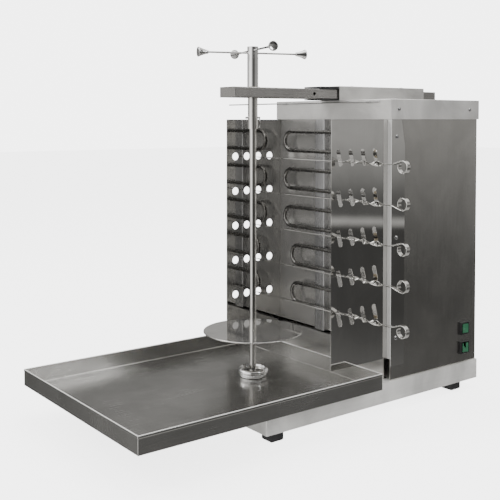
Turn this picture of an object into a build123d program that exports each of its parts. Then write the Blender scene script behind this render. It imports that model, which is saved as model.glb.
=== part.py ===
from build123d import *
import math
import os

# Electric doner kebab grill: a sheet steel housing with a heated front, a hand-turned
# spit held by a sliding arm, five flat skewers between two side wings, and a drip tray.
# Millimetres. +Z is up, -Y is the front, where the tray is.
# The origin is on the underside of the base, below the middle of the housing's front.

os.makedirs("parts", exist_ok=True)

# Sheet and clearances
SHEET = 1.5
PANEL = 1.2
SLIDE_GAP = 0.3
RUNNING_FIT = 0.05
SCREW_FIT = 0.1

# Base
BASE_WIDTH = 370.0
BASE_FRONT = 322.0
BASE_BACK = 274.0
BASE_HEIGHT = 41.0
BASE_CORNER = 3.0

# Feet
FOOT_SIDE = 30.0
FOOT_HEIGHT = 21.0
FOOT_CHAMFER = 2.5
FOOT_SEAT = 0.3
FOOT_SIDE_INSET = 28.0
FOOT_FRONT_INSET = 36.0
FOOT_BACK_INSET = 56.0
FOOT_SCREW_R = 3.0
FOOT_RECESS_R = 7.0
FOOT_RECESS_DEPTH = 6.0

# Housing
HOUSING_WIDTH = 362.0
HOUSING_DEPTH = 269.0
HOUSING_TOP = 572.0
FRONT_FLANGE = 10.0
BACK_FLANGE = 14.0
SIDE_SLOT_TOP = 88.0
CAP_HEIGHT = 41.0
CAP_BACK_GAP = 5.0

# Reflector, apron and insulation
REFLECTOR_BOTTOM = 108.0
REFLECTOR_OVERLAP = 5.0
REFLECTOR_RETURN = 12.0
APRON_WIDTH = 326.0
APRON_TOP = 100.0
APRON_RETURN = 12.0
INSULATION_DEPTH = 24.0

# Heating elements
HEATER_COUNT = 5
HEATER_TUBE_R = 4.25
HEATER_STANDOFF = 15.0
HEATER_LEG_PITCH = 43.0
HEATER_PITCH = 85.6
HEATER_LOWEST_Z = 180.5
HEATER_LEFT_LONG = 139.0
HEATER_LEFT_SHORT = 114.0
HEATER_LONG_COUNT = 3
HEATER_RIGHT = 140.0
HEATER_BEND = 14.0
HEATER_TAIL = 36.0
BUSHING_ACROSS = 17.0
BUSHING_LENGTH = 6.0
SUPPORT_WIDTH = 30.0
SUPPORT_X = -22.0

# Side wings
WING_REACH = 154.0
WING_INSET = 9.0
WING_BOTTOM = 86.0
WING_FLANGE = 39.0
WING_FLANGE_BOTTOM = 70.0
WING_FLANGE_TAPER = 10.0
WING_FLANGE_TAPER_HEIGHT = 55.0
WING_SCREW_Y = 15.0
WING_SCREW_LOW_Z = 127.0
WING_SCREW_HIGH_INSET = 35.0
WING_SCREW_COUNT = 3

# Skewers and the rows and columns that hold them
ROW_COUNT = 5
ROW_PITCH = 78.0
ROW_LOWEST_Z = 173.5
SKEWER_COLUMN = 65.0
COLUMNS = (130.0, 98.0, SKEWER_COLUMN, 32.0)
HOLE_R = 8.5
SLOT_RISE = 23.2
SLOT_LEAN = 6.2
BLADE_WIDTH = 10.0
BLADE_THICK = 2.0
TIP_PAST_WING = 14.0
TIP_TAPER = 42.0
TWIST_START = -22.0
TWIST_LENGTH = 75.0
TWIST_STEPS = 16
RING_R = 12.5
RING_CENTRE = 103.0
RING_GAP_ANGLE = 55.0
RING_ABOVE = (False, True, False, True, False)

# Tray and its rails
TRAY_WIDTH = 451.2
TRAY_LENGTH = 544.0
TRAY_BACK_Y = -66.0
TRAY_DEPTH = 32.7
TRAY_CORNER = 2.0
TRAY_HEM = 5.0
RAIL_WIDTH = 20.0
RAIL_HEIGHT = 4.7
RAIL_X = 120.0
RAIL_BACK_Y = -5.0

# Arm, its sleeve and its guide
ARM_WIDTH = 50.0
ARM_HEIGHT = 21.0
ARM_WALL = 1.5
ARM_FRONT = 276.0
ARM_BACK = 314.0
ARM_PIN_HOLE_Y = -67.6
ARM_PIN_HOLE_R = 3.5
GUIDE_FLOOR = 2.0
GUIDE_SIDE = 2.7
GUIDE_ROOF = 5.0
GUIDE_NOSE = 50.0
SLEEVE_WALL = 2.0
SLEEVE_LENGTH = 268.0
SLEEVE_SCREW_Y = (65.0, 223.0)

# Spit
SPIT_Y = -212.0
ROD_R = 7.0
ROD_TOP = 600.0
ROD_PIN_HOLE_Z = (199.6, 259.6, 319.6)
ROD_PIN_HOLE_R = 1.6
SPIT_TUBE_R = 10.0
SPIT_TUBE_BOTTOM = 552.5
HANDLE_TUBE_R = 11.2
HANDLE_TOP = 718.5
BUSH_WALL = 3.0
BUSH_FLANGE = 1.2
SPOKE_R = 2.0
SPOKE_REACH = 112.0
SPOKE_LOW_Z = 705.5
SPOKE_HIGH_Z = 711.0
SPOKE_TURN = 72.4
KNOB_R = 10.0
KNOB_NECK_R = 4.0
KNOB_LENGTH = 22.0
KNOB_FACE = 2.0
PLATE_R = 101.0
PLATE_THICK = 2.0
PLATE_Z = 139.0
COLLAR_R = 13.0
COLLAR_HEIGHT = 12.0
SPIT_PIN_Z = 575.0
SPIT_PIN_R = 2.0
SPIT_PIN_PAST = 6.0
PIN_RING_R = 10.5
PIN_RING_WIRE_R = 0.8

# Cup that the spit stands in
CUP_R = 22.0
CUP_HEIGHT = 17.0
CUP_RECESS_R = 16.0
CUP_RECESS_DEPTH = 6.0
CUP_BORE_DEPTH = 6.0
CUP_BEVEL = 3.0

# Rocker switches
SWITCH_Y = 230.0
SWITCH_Z = (116.0, 74.0)
BEZEL_SIDE = 28.0
BEZEL_PROUD = 6.0
SWITCH_BODY_DEPTH = 22.0
SWITCH_BODY_SIDE = 24.0
ROCKER_WIDTH = 20.6
ROCKER_HEIGHT = 21.0
ROCKER_GAP = 0.3
ROCKER_TILT = 7.0
ROCKER_BACK = 6.0
ROCKER_EDGE = 4.5
ROCKER_DISH = 1.3
PIVOT_DEPTH = 1.5

# Back panel and small parts
GLAND_X = -120.0
GLAND_Z = 80.0
GLAND_R = 9.0
GLAND_BORE_R = 5.0
GLAND_LENGTH = 22.0
LOUVRE_WIDTH = 90.0
LOUVRE_HEIGHT = 4.0
LOUVRE_PITCH = 12.0
LOUVRE_COUNT = 8
LOUVRE_Z = 470.0
SCREW_R = 2.0
SCREW_HEAD_R = 3.8
SCREW_HEAD_HEIGHT = 2.2
SCREW_LENGTH = 6.0
CAP_SCREW_Y = (20.6, 243.5)
REST_ROD_R = 1.5
REST_ROD_LEFT = -369.0
REST_ROD_RIGHT = 150.0
REST_ROD_Z = 608.0
CLIP_X = (-150.0, 120.0)
CLIP_LENGTH = 12.0
CLIP_WALL = 1.2

# Places worked out from the sizes above
base_length = BASE_FRONT + BASE_BACK
base_middle_y = (BASE_BACK - BASE_FRONT) / 2
foot_x = BASE_WIDTH / 2 - FOOT_SIDE_INSET
foot_front_y = FOOT_FRONT_INSET - BASE_FRONT
foot_back_y = BASE_BACK - FOOT_BACK_INSET
housing_half = HOUSING_WIDTH / 2
cap_top = HOUSING_TOP + CAP_HEIGHT
cap_front = -SHEET
cap_back = HOUSING_DEPTH + PANEL + CAP_BACK_GAP
reflector_y = PANEL
wing_outer = housing_half - WING_INSET
wing_top = HOUSING_TOP - SLIDE_GAP
wing_screw_pitch = (wing_top - WING_SCREW_HIGH_INSET - WING_SCREW_LOW_Z) / (WING_SCREW_COUNT - 1)
heater_y = -HEATER_STANDOFF
rail_top = BASE_HEIGHT + RAIL_HEIGHT
tray_bottom = rail_top + SLIDE_GAP
tray_floor = tray_bottom + PANEL
tray_top = tray_bottom + TRAY_DEPTH
tray_front_y = TRAY_BACK_Y - TRAY_LENGTH
tray_middle_y = TRAY_BACK_Y - TRAY_LENGTH / 2
arm_bottom = cap_top + GUIDE_FLOOR + SLIDE_GAP
arm_top = arm_bottom + ARM_HEIGHT
guide_half = ARM_WIDTH / 2 + SLIDE_GAP + GUIDE_SIDE
guide_top = arm_top + SLIDE_GAP + GUIDE_ROOF
sleeve_half = guide_half + SLEEVE_WALL
sleeve_top = guide_top + SLEEVE_WALL
cup_bottom = tray_floor + SLIDE_GAP
cup_top = cup_bottom + CUP_HEIGHT
cup_seat = cup_top - CUP_RECESS_DEPTH - CUP_BORE_DEPTH
rod_bottom = cup_seat + SLIDE_GAP
bush_r = SPIT_TUBE_R + RUNNING_FIT + BUSH_WALL
handle_bottom = arm_top + BUSH_FLANGE + SLIDE_GAP
skewer_y = -SKEWER_COLUMN
blade_half_diagonal = math.hypot(BLADE_WIDTH, BLADE_THICK) / 2
slot_width = 2 * (blade_half_diagonal + SLIDE_GAP)
slot_length = math.hypot(SLOT_LEAN, SLOT_RISE)
slot_angle = math.degrees(math.atan2(SLOT_RISE, -SLOT_LEAN))
hole_rise = HOLE_R - blade_half_diagonal - SLIDE_GAP
skewer_tip_x = -(wing_outer + TIP_PAST_WING)


def save(node, piece):
    """Labels one finished piece and writes its STEP file."""
    piece.part.label = node
    export_step(piece.part, f"parts/{node}.step")


def row_z(row):
    return ROW_LOWEST_Z + row * ROW_PITCH


def heater_z(index):
    return HEATER_LOWEST_Z + index * HEATER_PITCH


def spit_plane(z, angle=0.0):
    """A level plane on the spit's axis, turned about it."""
    return Plane(origin=(0, SPIT_Y, z), x_dir=(math.cos(math.radians(angle)), math.sin(math.radians(angle)), 0), z_dir=(0, 0, 1))


def make_screws(node, planes):
    """A group of like pan head screws, one on each plane."""
    heads = []
    for plane in planes:
        with BuildPart() as screw:
            with BuildSketch(plane):
                Circle(SCREW_HEAD_R)
            extrude(amount=SCREW_HEAD_HEIGHT)
            chamfer(screw.edges().filter_by(GeomType.CIRCLE).sort_by_distance(plane.origin)[-1], SCREW_HEAD_HEIGHT * 0.4)
            with BuildSketch(plane):
                Circle(SCREW_R)
            extrude(amount=-SCREW_LENGTH)
        heads.append(screw.part)
    with BuildPart() as group:
        for head in heads:
            add(head)
    save(node, group)


# Base, feet and rails

def make_base():
    with BuildPart() as base_shell:
        with BuildSketch(Plane.XY):
            with Locations((0, base_middle_y)):
                RectangleRounded(BASE_WIDTH, base_length, BASE_CORNER)
        extrude(amount=BASE_HEIGHT)
        with BuildSketch(Plane.XY):
            with Locations((0, base_middle_y)):
                Rectangle(BASE_WIDTH - 2 * SHEET, base_length - 2 * SHEET)
        extrude(amount=BASE_HEIGHT - SHEET, mode=Mode.SUBTRACT)
    save("base_shell", base_shell)

    with BuildPart() as base_cover:
        with BuildSketch(Plane.XY):
            with Locations((0, base_middle_y)):
                Rectangle(BASE_WIDTH - 2 * SHEET, base_length - 2 * SHEET)
            with Locations(*foot_places()):
                Circle(FOOT_SCREW_R + SCREW_FIT, mode=Mode.SUBTRACT)
        extrude(amount=SHEET)
        with BuildSketch(Plane.XY):
            with Locations(*foot_places()):
                RectangleRounded(FOOT_SIDE + 2 * SLIDE_GAP, FOOT_SIDE + 2 * SLIDE_GAP, FOOT_CHAMFER)
        extrude(amount=FOOT_SEAT, mode=Mode.SUBTRACT)
    save("base_cover", base_cover)


def foot_places():
    return [(x, y) for y in (foot_front_y, foot_back_y) for x in (-foot_x, foot_x)]


def make_feet():
    names = ("foot_front_left", "foot_front_right", "foot_back_left", "foot_back_right")
    for node, (x, y) in zip(names, foot_places()):
        with BuildPart() as foot:
            with BuildSketch(Plane((x, y, FOOT_SEAT))):
                RectangleRounded(FOOT_SIDE, FOOT_SIDE, FOOT_CHAMFER)
            extrude(amount=-(FOOT_HEIGHT + FOOT_SEAT))
            chamfer(foot.faces().sort_by(Axis.Z)[0].edges(), FOOT_CHAMFER)
            with BuildSketch(Plane((x, y, -FOOT_HEIGHT))):
                Circle(FOOT_RECESS_R)
            extrude(amount=FOOT_RECESS_DEPTH, mode=Mode.SUBTRACT)
            with BuildSketch(Plane((x, y, FOOT_SEAT))):
                Circle(FOOT_SCREW_R + SCREW_FIT)
            extrude(amount=-FOOT_HEIGHT, mode=Mode.SUBTRACT)
        save(node, foot)

    with BuildPart() as foot_screws:
        for x, y in foot_places():
            with BuildSketch(Plane((x, y, FOOT_RECESS_DEPTH - FOOT_HEIGHT))):
                Circle(FOOT_SCREW_R)
            extrude(amount=FOOT_HEIGHT - FOOT_RECESS_DEPTH + SHEET)
            with BuildSketch(Plane((x, y, FOOT_RECESS_DEPTH - FOOT_HEIGHT))):
                Circle(FOOT_RECESS_R - 1.5)
            extrude(amount=-FOOT_SCREW_R)
    save("foot_screws", foot_screws)


def make_rails():
    rail_length = BASE_FRONT - SHEET + RAIL_BACK_Y
    for node, x in (("tray_rail_left", -RAIL_X), ("tray_rail_right", RAIL_X)):
        with BuildPart() as rail:
            with BuildSketch(Plane((x, RAIL_BACK_Y, BASE_HEIGHT), x_dir=(1, 0, 0), z_dir=(0, -1, 0))):
                with Locations((0, RAIL_HEIGHT / 2)):
                    Rectangle(RAIL_WIDTH, RAIL_HEIGHT)
                with Locations((0, (RAIL_HEIGHT - PANEL) / 2)):
                    Rectangle(RAIL_WIDTH - 2 * PANEL, RAIL_HEIGHT - PANEL, mode=Mode.SUBTRACT)
            extrude(amount=rail_length)
            fillet(rail.edges().filter_by(Axis.Y).group_by(Axis.Z)[-1], PANEL * 0.9)
        save(node, rail)


# Housing shell

def make_side_panel(node, side):
    """A folded side: the wall, a front flange above the side slot, and a back flange."""
    with BuildPart() as panel:
        with BuildSketch(Plane.XY.offset(BASE_HEIGHT)):
            with Locations((side * (housing_half - PANEL / 2), HOUSING_DEPTH / 2)):
                Rectangle(PANEL, HOUSING_DEPTH)
            with Locations((side * (housing_half - BACK_FLANGE / 2), HOUSING_DEPTH - PANEL / 2)):
                Rectangle(BACK_FLANGE, PANEL)
        extrude(amount=cap_top - SHEET - BASE_HEIGHT)
        with BuildSketch(Plane.XY.offset(SIDE_SLOT_TOP)):
            with Locations((side * (housing_half - FRONT_FLANGE / 2), PANEL / 2)):
                Rectangle(FRONT_FLANGE, PANEL)
        extrude(amount=cap_top - SHEET - SIDE_SLOT_TOP)
        with BuildSketch(Plane.YZ.offset(side * (housing_half - PANEL))):
            with Locations(*wing_screw_places()):
                Circle(SCREW_R + SCREW_FIT)
            with Locations(*cap_screw_places()):
                Circle(SCREW_R + SCREW_FIT)
            if side > 0:
                with Locations(*[(SWITCH_Y, z) for z in SWITCH_Z]):
                    Rectangle(SWITCH_BODY_SIDE + 2 * SCREW_FIT, SWITCH_BODY_SIDE + 2 * SCREW_FIT)
        extrude(amount=side * PANEL, mode=Mode.SUBTRACT)
        with BuildSketch(Plane((0, HOUSING_DEPTH, 0), x_dir=(1, 0, 0), z_dir=(0, -1, 0))):
            with Locations(*[(x, z) for x, z in back_screw_places() if x * side > 0]):
                Circle(SCREW_R + SCREW_FIT)
        extrude(amount=PANEL, mode=Mode.SUBTRACT)
    save(node, panel)


def wing_screw_places():
    return [(WING_SCREW_Y, WING_SCREW_LOW_Z + i * wing_screw_pitch) for i in range(WING_SCREW_COUNT)]


def cap_screw_places():
    return [(y, HOUSING_TOP + CAP_HEIGHT / 2) for y in CAP_SCREW_Y]


def back_screw_places():
    x = housing_half - BACK_FLANGE / 2 - PANEL
    heights = (BASE_HEIGHT + 20, (BASE_HEIGHT + HOUSING_TOP) / 2, HOUSING_TOP - 20)
    return [(side * x, z) for side in (-1, 1) for z in heights]


def make_back_panel():
    back_plane = Plane((0, HOUSING_DEPTH, 0), x_dir=(1, 0, 0), z_dir=(0, -1, 0))
    with BuildPart() as back_panel:
        with BuildSketch(back_plane):
            with Locations((0, (BASE_HEIGHT + HOUSING_TOP) / 2)):
                Rectangle(HOUSING_WIDTH, HOUSING_TOP - BASE_HEIGHT)
            with Locations((GLAND_X, GLAND_Z)):
                Circle(GLAND_R * 0.75, mode=Mode.SUBTRACT)
            with Locations(*back_screw_places()):
                Circle(SCREW_R + SCREW_FIT, mode=Mode.SUBTRACT)
            for side in (-1, 1):
                with Locations((side * LOUVRE_WIDTH * 0.75, LOUVRE_Z)):
                    with GridLocations(LOUVRE_WIDTH, LOUVRE_PITCH, 1, LOUVRE_COUNT):
                        SlotOverall(LOUVRE_WIDTH, LOUVRE_HEIGHT, mode=Mode.SUBTRACT)
        extrude(amount=-PANEL)
    save("back_panel", back_panel)

    flange_holes = [Plane((x, HOUSING_DEPTH + PANEL, z), x_dir=(1, 0, 0), z_dir=(0, 1, 0)) for x, z in back_screw_places()]
    make_screws("back_screws", flange_holes)


def make_cap():
    cap_half = housing_half + SHEET
    cap_length = cap_back - cap_front
    cap_middle = (cap_back + cap_front) / 2
    with BuildPart() as cap:
        with BuildSketch(Plane.XY.offset(HOUSING_TOP)):
            with Locations((0, cap_middle)):
                Rectangle(2 * cap_half, cap_length)
        extrude(amount=CAP_HEIGHT)
        fillet(cap.faces().sort_by(Axis.Z)[-1].edges(), SHEET * 0.8)
        with BuildSketch(Plane.XY.offset(HOUSING_TOP)):
            with Locations((0, cap_middle)):
                Rectangle(2 * housing_half, cap_length - 2 * SHEET)
        extrude(amount=CAP_HEIGHT - SHEET, mode=Mode.SUBTRACT)
        with BuildSketch(Plane.YZ.offset(-cap_half)):
            with Locations(*cap_screw_places()):
                Circle(SCREW_R + SCREW_FIT)
        extrude(amount=2 * cap_half, mode=Mode.SUBTRACT)
    save("cap", cap)

    planes = []
    for side in (-1, 1):
        for y, z in cap_screw_places():
            planes.append(Plane((side * cap_half, y, z), x_dir=(0, 1, 0), z_dir=(side, 0, 0)))
    make_screws("cap_screws", planes)


# Heated front

def heater_hole_places():
    half = HEATER_LEG_PITCH / 2
    return [(HEATER_RIGHT, heater_z(i) + s * half) for i in range(HEATER_COUNT) for s in (-1, 1)]


def make_reflector():
    half = housing_half - FRONT_FLANGE + REFLECTOR_OVERLAP
    height = HOUSING_TOP - REFLECTOR_BOTTOM
    with BuildPart() as reflector:
        with BuildSketch(Plane((0, reflector_y, 0), x_dir=(1, 0, 0), z_dir=(0, -1, 0))):
            with Locations((0, REFLECTOR_BOTTOM + height / 2)):
                Rectangle(2 * half, height)
            with Locations(*heater_hole_places()):
                Circle(HEATER_TUBE_R + SLIDE_GAP, mode=Mode.SUBTRACT)
        extrude(amount=-PANEL)
        for z in (REFLECTOR_BOTTOM, HOUSING_TOP - PANEL):
            with BuildSketch(Plane.XY.offset(z)):
                with Locations((0, reflector_y + REFLECTOR_RETURN / 2)):
                    Rectangle(2 * half - 2 * REFLECTOR_OVERLAP, REFLECTOR_RETURN)
            extrude(amount=PANEL)
    save("reflector", reflector)

    with BuildPart() as insulation:
        with BuildSketch(Plane((0, reflector_y + PANEL, 0), x_dir=(1, 0, 0), z_dir=(0, -1, 0))):
            with Locations((0, REFLECTOR_BOTTOM + height / 2)):
                Rectangle(2 * (half - REFLECTOR_OVERLAP), height - 2 * PANEL)
            with Locations(*heater_hole_places()):
                Circle(HEATER_TUBE_R + 2 * SLIDE_GAP, mode=Mode.SUBTRACT)
        extrude(amount=-INSULATION_DEPTH)
    save("insulation", insulation)

    with BuildPart() as apron:
        with BuildSketch(Plane((0, 0, 0), x_dir=(1, 0, 0), z_dir=(0, -1, 0))):
            with Locations((0, (BASE_HEIGHT + APRON_TOP) / 2)):
                Rectangle(APRON_WIDTH, APRON_TOP - BASE_HEIGHT)
        extrude(amount=-PANEL)
        for z in (BASE_HEIGHT, APRON_TOP - PANEL):
            with BuildSketch(Plane.XY.offset(z)):
                with Locations((0, APRON_RETURN / 2)):
                    Rectangle(APRON_WIDTH, APRON_RETURN)
            extrude(amount=PANEL)
    save("apron", apron)


def make_heater(index):
    """One tubular element: a long U in front of the reflector, its two tails turned back through it."""
    long_one = index >= HEATER_COUNT - HEATER_LONG_COUNT
    half = HEATER_LEG_PITCH / 2
    left = -(HEATER_LEFT_LONG if long_one else HEATER_LEFT_SHORT) + HEATER_TUBE_R + half
    middle_z = heater_z(index)
    low = middle_z - half
    high = middle_z + half
    bend_start = heater_y + HEATER_BEND
    bend_mid = HEATER_BEND * (1 - math.cos(math.radians(45)))
    with BuildPart() as heater:
        with BuildLine() as path:
            Line((HEATER_RIGHT, HEATER_TAIL, high), (HEATER_RIGHT, bend_start, high))
            ThreePointArc((HEATER_RIGHT, bend_start, high),
                          (HEATER_RIGHT - bend_mid, heater_y + bend_mid, high),
                          (HEATER_RIGHT - HEATER_BEND, heater_y, high))
            Line((HEATER_RIGHT - HEATER_BEND, heater_y, high), (left, heater_y, high))
            ThreePointArc((left, heater_y, high), (left - half, heater_y, middle_z), (left, heater_y, low))
            Line((left, heater_y, low), (HEATER_RIGHT - HEATER_BEND, heater_y, low))
            ThreePointArc((HEATER_RIGHT - HEATER_BEND, heater_y, low),
                          (HEATER_RIGHT - bend_mid, heater_y + bend_mid, low),
                          (HEATER_RIGHT, bend_start, low))
            Line((HEATER_RIGHT, bend_start, low), (HEATER_RIGHT, HEATER_TAIL, low))
        with BuildSketch(Plane((HEATER_RIGHT, HEATER_TAIL, high), x_dir=(1, 0, 0), z_dir=(0, -1, 0))):
            Circle(HEATER_TUBE_R)
        sweep(path=path.line)
    save(f"heater_{index + 1}", heater)


def make_heater_fittings():
    """Hex bushings on the reflector's face and the channel behind the legs."""
    with BuildPart() as bushings:
        for x, z in heater_hole_places():
            with BuildSketch(Plane((x, reflector_y, z), x_dir=(1, 0, 0), z_dir=(0, -1, 0))):
                RegularPolygon(BUSHING_ACROSS / 2, 6, major_radius=False)
                Circle(HEATER_TUBE_R + RUNNING_FIT, mode=Mode.SUBTRACT)
            extrude(amount=reflector_y)
    save("heater_bushings", bushings)

    web = heater_y + HEATER_TUBE_R + SLIDE_GAP
    depth = reflector_y - web
    with BuildPart() as element_support:
        with BuildSketch(Plane.XY.offset(REFLECTOR_BOTTOM)):
            with Locations((SUPPORT_X, web + depth / 2)):
                Rectangle(SUPPORT_WIDTH, depth)
            with Locations((SUPPORT_X, web + PANEL + (depth - PANEL) / 2)):
                Rectangle(SUPPORT_WIDTH - 2 * PANEL, depth - PANEL, mode=Mode.SUBTRACT)
        extrude(amount=HOUSING_TOP - REFLECTOR_BOTTOM)
        fillet(element_support.edges().filter_by(Axis.Z).group_by(Axis.Y)[0], PANEL)
    save("element_support", element_support)


# Wings

def make_wing(node, side):
    """A joggled side wing: a flange screwed on the housing's side, a step, and the plate in front."""
    top = wing_top
    outer = housing_half + PANEL
    with BuildPart() as wing:
        with BuildSketch(Plane.XY.offset(WING_FLANGE_BOTTOM)):
            with Locations((side * (housing_half + PANEL / 2), WING_FLANGE / 2)):
                Rectangle(PANEL, WING_FLANGE)
        extrude(amount=top - WING_FLANGE_BOTTOM)
        with BuildSketch(Plane.XY.offset(WING_BOTTOM)):
            with Locations((side * (wing_outer - PANEL + outer) / 2, -PANEL / 2)):
                Rectangle(outer - wing_outer + PANEL, PANEL)
            with Locations((side * (wing_outer - PANEL / 2), -WING_REACH / 2)):
                Rectangle(PANEL, WING_REACH)
        extrude(amount=top - WING_BOTTOM)
        with BuildSketch(Plane.YZ.offset(side * housing_half)):
            with BuildLine():
                Polyline((WING_FLANGE, top - WING_FLANGE_TAPER_HEIGHT), (WING_FLANGE, top),
                         (WING_FLANGE - WING_FLANGE_TAPER, top), close=True)
            make_face()
            with Locations(*wing_screw_places()):
                Circle(SCREW_R + SCREW_FIT)
        extrude(amount=side * PANEL, mode=Mode.SUBTRACT)
        with BuildSketch(Plane.YZ.offset(side * (wing_outer - PANEL))):
            for row in range(ROW_COUNT):
                for column in COLUMNS:
                    if side < 0:
                        with Locations((-column, row_z(row) + hole_rise)):
                            Circle(HOLE_R)
                    else:
                        with Locations((-column - SLOT_LEAN / 2, row_z(row) + SLOT_RISE / 2)):
                            SlotCenterToCenter(slot_length, slot_width, rotation=slot_angle)
        extrude(amount=side * PANEL, mode=Mode.SUBTRACT)
        fillet(wing.edges().filter_by(Axis.X).group_by(Axis.Y)[0], PANEL * 2)
    save(node, wing)


def make_wing_screws():
    planes = []
    for side in (-1, 1):
        for y, z in wing_screw_places():
            planes.append(Plane((side * (housing_half + PANEL), y, z), x_dir=(0, 1, 0), z_dir=(side, 0, 0)))
    make_screws("wing_screws", planes)


# Skewers

def make_skewer(row):
    """A flat skewer: pointed blade, a twisted length through the wing, and a rolled ring."""
    z = row_z(row)
    level = Plane((0, skewer_y, z))
    twist_start = wing_outer + TWIST_START
    twist_end = twist_start + TWIST_LENGTH
    ring_x = wing_outer + RING_CENTRE
    ring_side = 1 if RING_ABOVE[row] else -1
    ring_mid = RING_R - BLADE_THICK / 2
    half = BLADE_WIDTH / 2
    with BuildPart() as skewer:
        with BuildSketch(level):
            with BuildLine():
                Polyline((skewer_tip_x, 0), (skewer_tip_x + TIP_TAPER, half), (twist_start, half),
                         (twist_start, -half), (skewer_tip_x + TIP_TAPER, -half), close=True)
            make_face()
        extrude(amount=BLADE_THICK / 2, both=True)
        with BuildSketch(Plane((0, skewer_y, z), x_dir=(1, 0, 0), z_dir=(0, -1, 0))):
            with Locations(((twist_end + ring_x) / 2, 0)):
                Rectangle(ring_x - twist_end, BLADE_THICK)
            with Locations((ring_x, ring_side * ring_mid)):
                Circle(RING_R)
                Circle(RING_R - BLADE_THICK, mode=Mode.SUBTRACT)
            with BuildLine():
                start = 180 + ring_side * 90
                gap_a = math.radians(start - ring_side * RING_GAP_ANGLE)
                gap_b = math.radians(start)
                reach = 3 * RING_R
                centre = (ring_x, ring_side * ring_mid)
                Polyline(centre, (centre[0] + reach * math.cos(gap_a), centre[1] + reach * math.sin(gap_a)),
                         (centre[0] + reach * math.cos(gap_b), centre[1] + reach * math.sin(gap_b)), close=True)
            ring_cut = make_face(mode=Mode.PRIVATE)
            add(ring_cut, mode=Mode.SUBTRACT)
            with Locations(((twist_end + ring_x) / 2, 0)):
                Rectangle(ring_x - twist_end, BLADE_THICK)
        extrude(amount=half, both=True)
        for step in range(TWIST_STEPS + 1):
            turn = math.radians(360.0 * step / TWIST_STEPS)
            x = twist_start + TWIST_LENGTH * step / TWIST_STEPS
            with BuildSketch(Plane((x, skewer_y, z), x_dir=(0, math.cos(turn), math.sin(turn)), z_dir=(1, 0, 0))):
                Rectangle(BLADE_WIDTH, BLADE_THICK)
        loft()
    save(f"skewer_{row + 1}", skewer)


# Tray

def make_tray():
    with BuildPart() as tray:
        with BuildSketch(Plane.XY.offset(tray_bottom)):
            with Locations((0, tray_middle_y)):
                RectangleRounded(TRAY_WIDTH - 2 * PANEL, TRAY_LENGTH - 2 * PANEL, TRAY_CORNER)
        extrude(amount=TRAY_DEPTH)
        with BuildSketch(Plane.XY.offset(tray_top - TRAY_HEM)):
            with Locations((0, tray_middle_y)):
                RectangleRounded(TRAY_WIDTH, TRAY_LENGTH, TRAY_CORNER + PANEL)
        extrude(amount=TRAY_HEM)
        with BuildSketch(Plane.XY.offset(tray_floor)):
            with Locations((0, tray_middle_y)):
                RectangleRounded(TRAY_WIDTH - 4 * PANEL, TRAY_LENGTH - 4 * PANEL, TRAY_CORNER - PANEL / 2)
        extrude(amount=TRAY_DEPTH, mode=Mode.SUBTRACT)
    save("tray", tray)


# Arm

def make_arm():
    length = ARM_FRONT + ARM_BACK - ARM_WALL
    with BuildPart() as arm:
        with BuildSketch(Plane((0, ARM_BACK, arm_bottom), x_dir=(1, 0, 0), z_dir=(0, -1, 0))):
            with Locations((0, ARM_HEIGHT / 2)):
                RectangleRounded(ARM_WIDTH, ARM_HEIGHT, ARM_WALL)
                Rectangle(ARM_WIDTH - 2 * ARM_WALL, ARM_HEIGHT - 2 * ARM_WALL, mode=Mode.SUBTRACT)
        extrude(amount=length)
        with BuildSketch(Plane((0, SPIT_Y, arm_bottom))):
            Circle(bush_r)
        extrude(amount=ARM_HEIGHT, mode=Mode.SUBTRACT)
        with BuildSketch(Plane((ARM_WIDTH / 2, ARM_PIN_HOLE_Y, arm_bottom + ARM_HEIGHT / 2), x_dir=(0, 1, 0), z_dir=(1, 0, 0))):
            Circle(ARM_PIN_HOLE_R)
        extrude(amount=-2 * ARM_WALL, mode=Mode.SUBTRACT)
    save("arm", arm)

    with BuildPart() as arm_end_plate:
        with BuildSketch(Plane((0, -ARM_FRONT, arm_bottom), x_dir=(1, 0, 0), z_dir=(0, 1, 0))):
            with Locations((0, -ARM_HEIGHT / 2)):
                RectangleRounded(ARM_WIDTH, ARM_HEIGHT, ARM_WALL)
        extrude(amount=ARM_WALL)
    save("arm_end_plate", arm_end_plate)

    with BuildPart() as spit_bush:
        with BuildSketch(Plane((0, SPIT_Y, arm_bottom))):
            Circle(bush_r)
            Circle(SPIT_TUBE_R + RUNNING_FIT, mode=Mode.SUBTRACT)
        extrude(amount=ARM_HEIGHT)
        with BuildSketch(Plane((0, SPIT_Y, arm_top))):
            Circle(bush_r + BUSH_FLANGE)
            Circle(SPIT_TUBE_R + RUNNING_FIT, mode=Mode.SUBTRACT)
        extrude(amount=BUSH_FLANGE)
    save("spit_bush", spit_bush)


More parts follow.
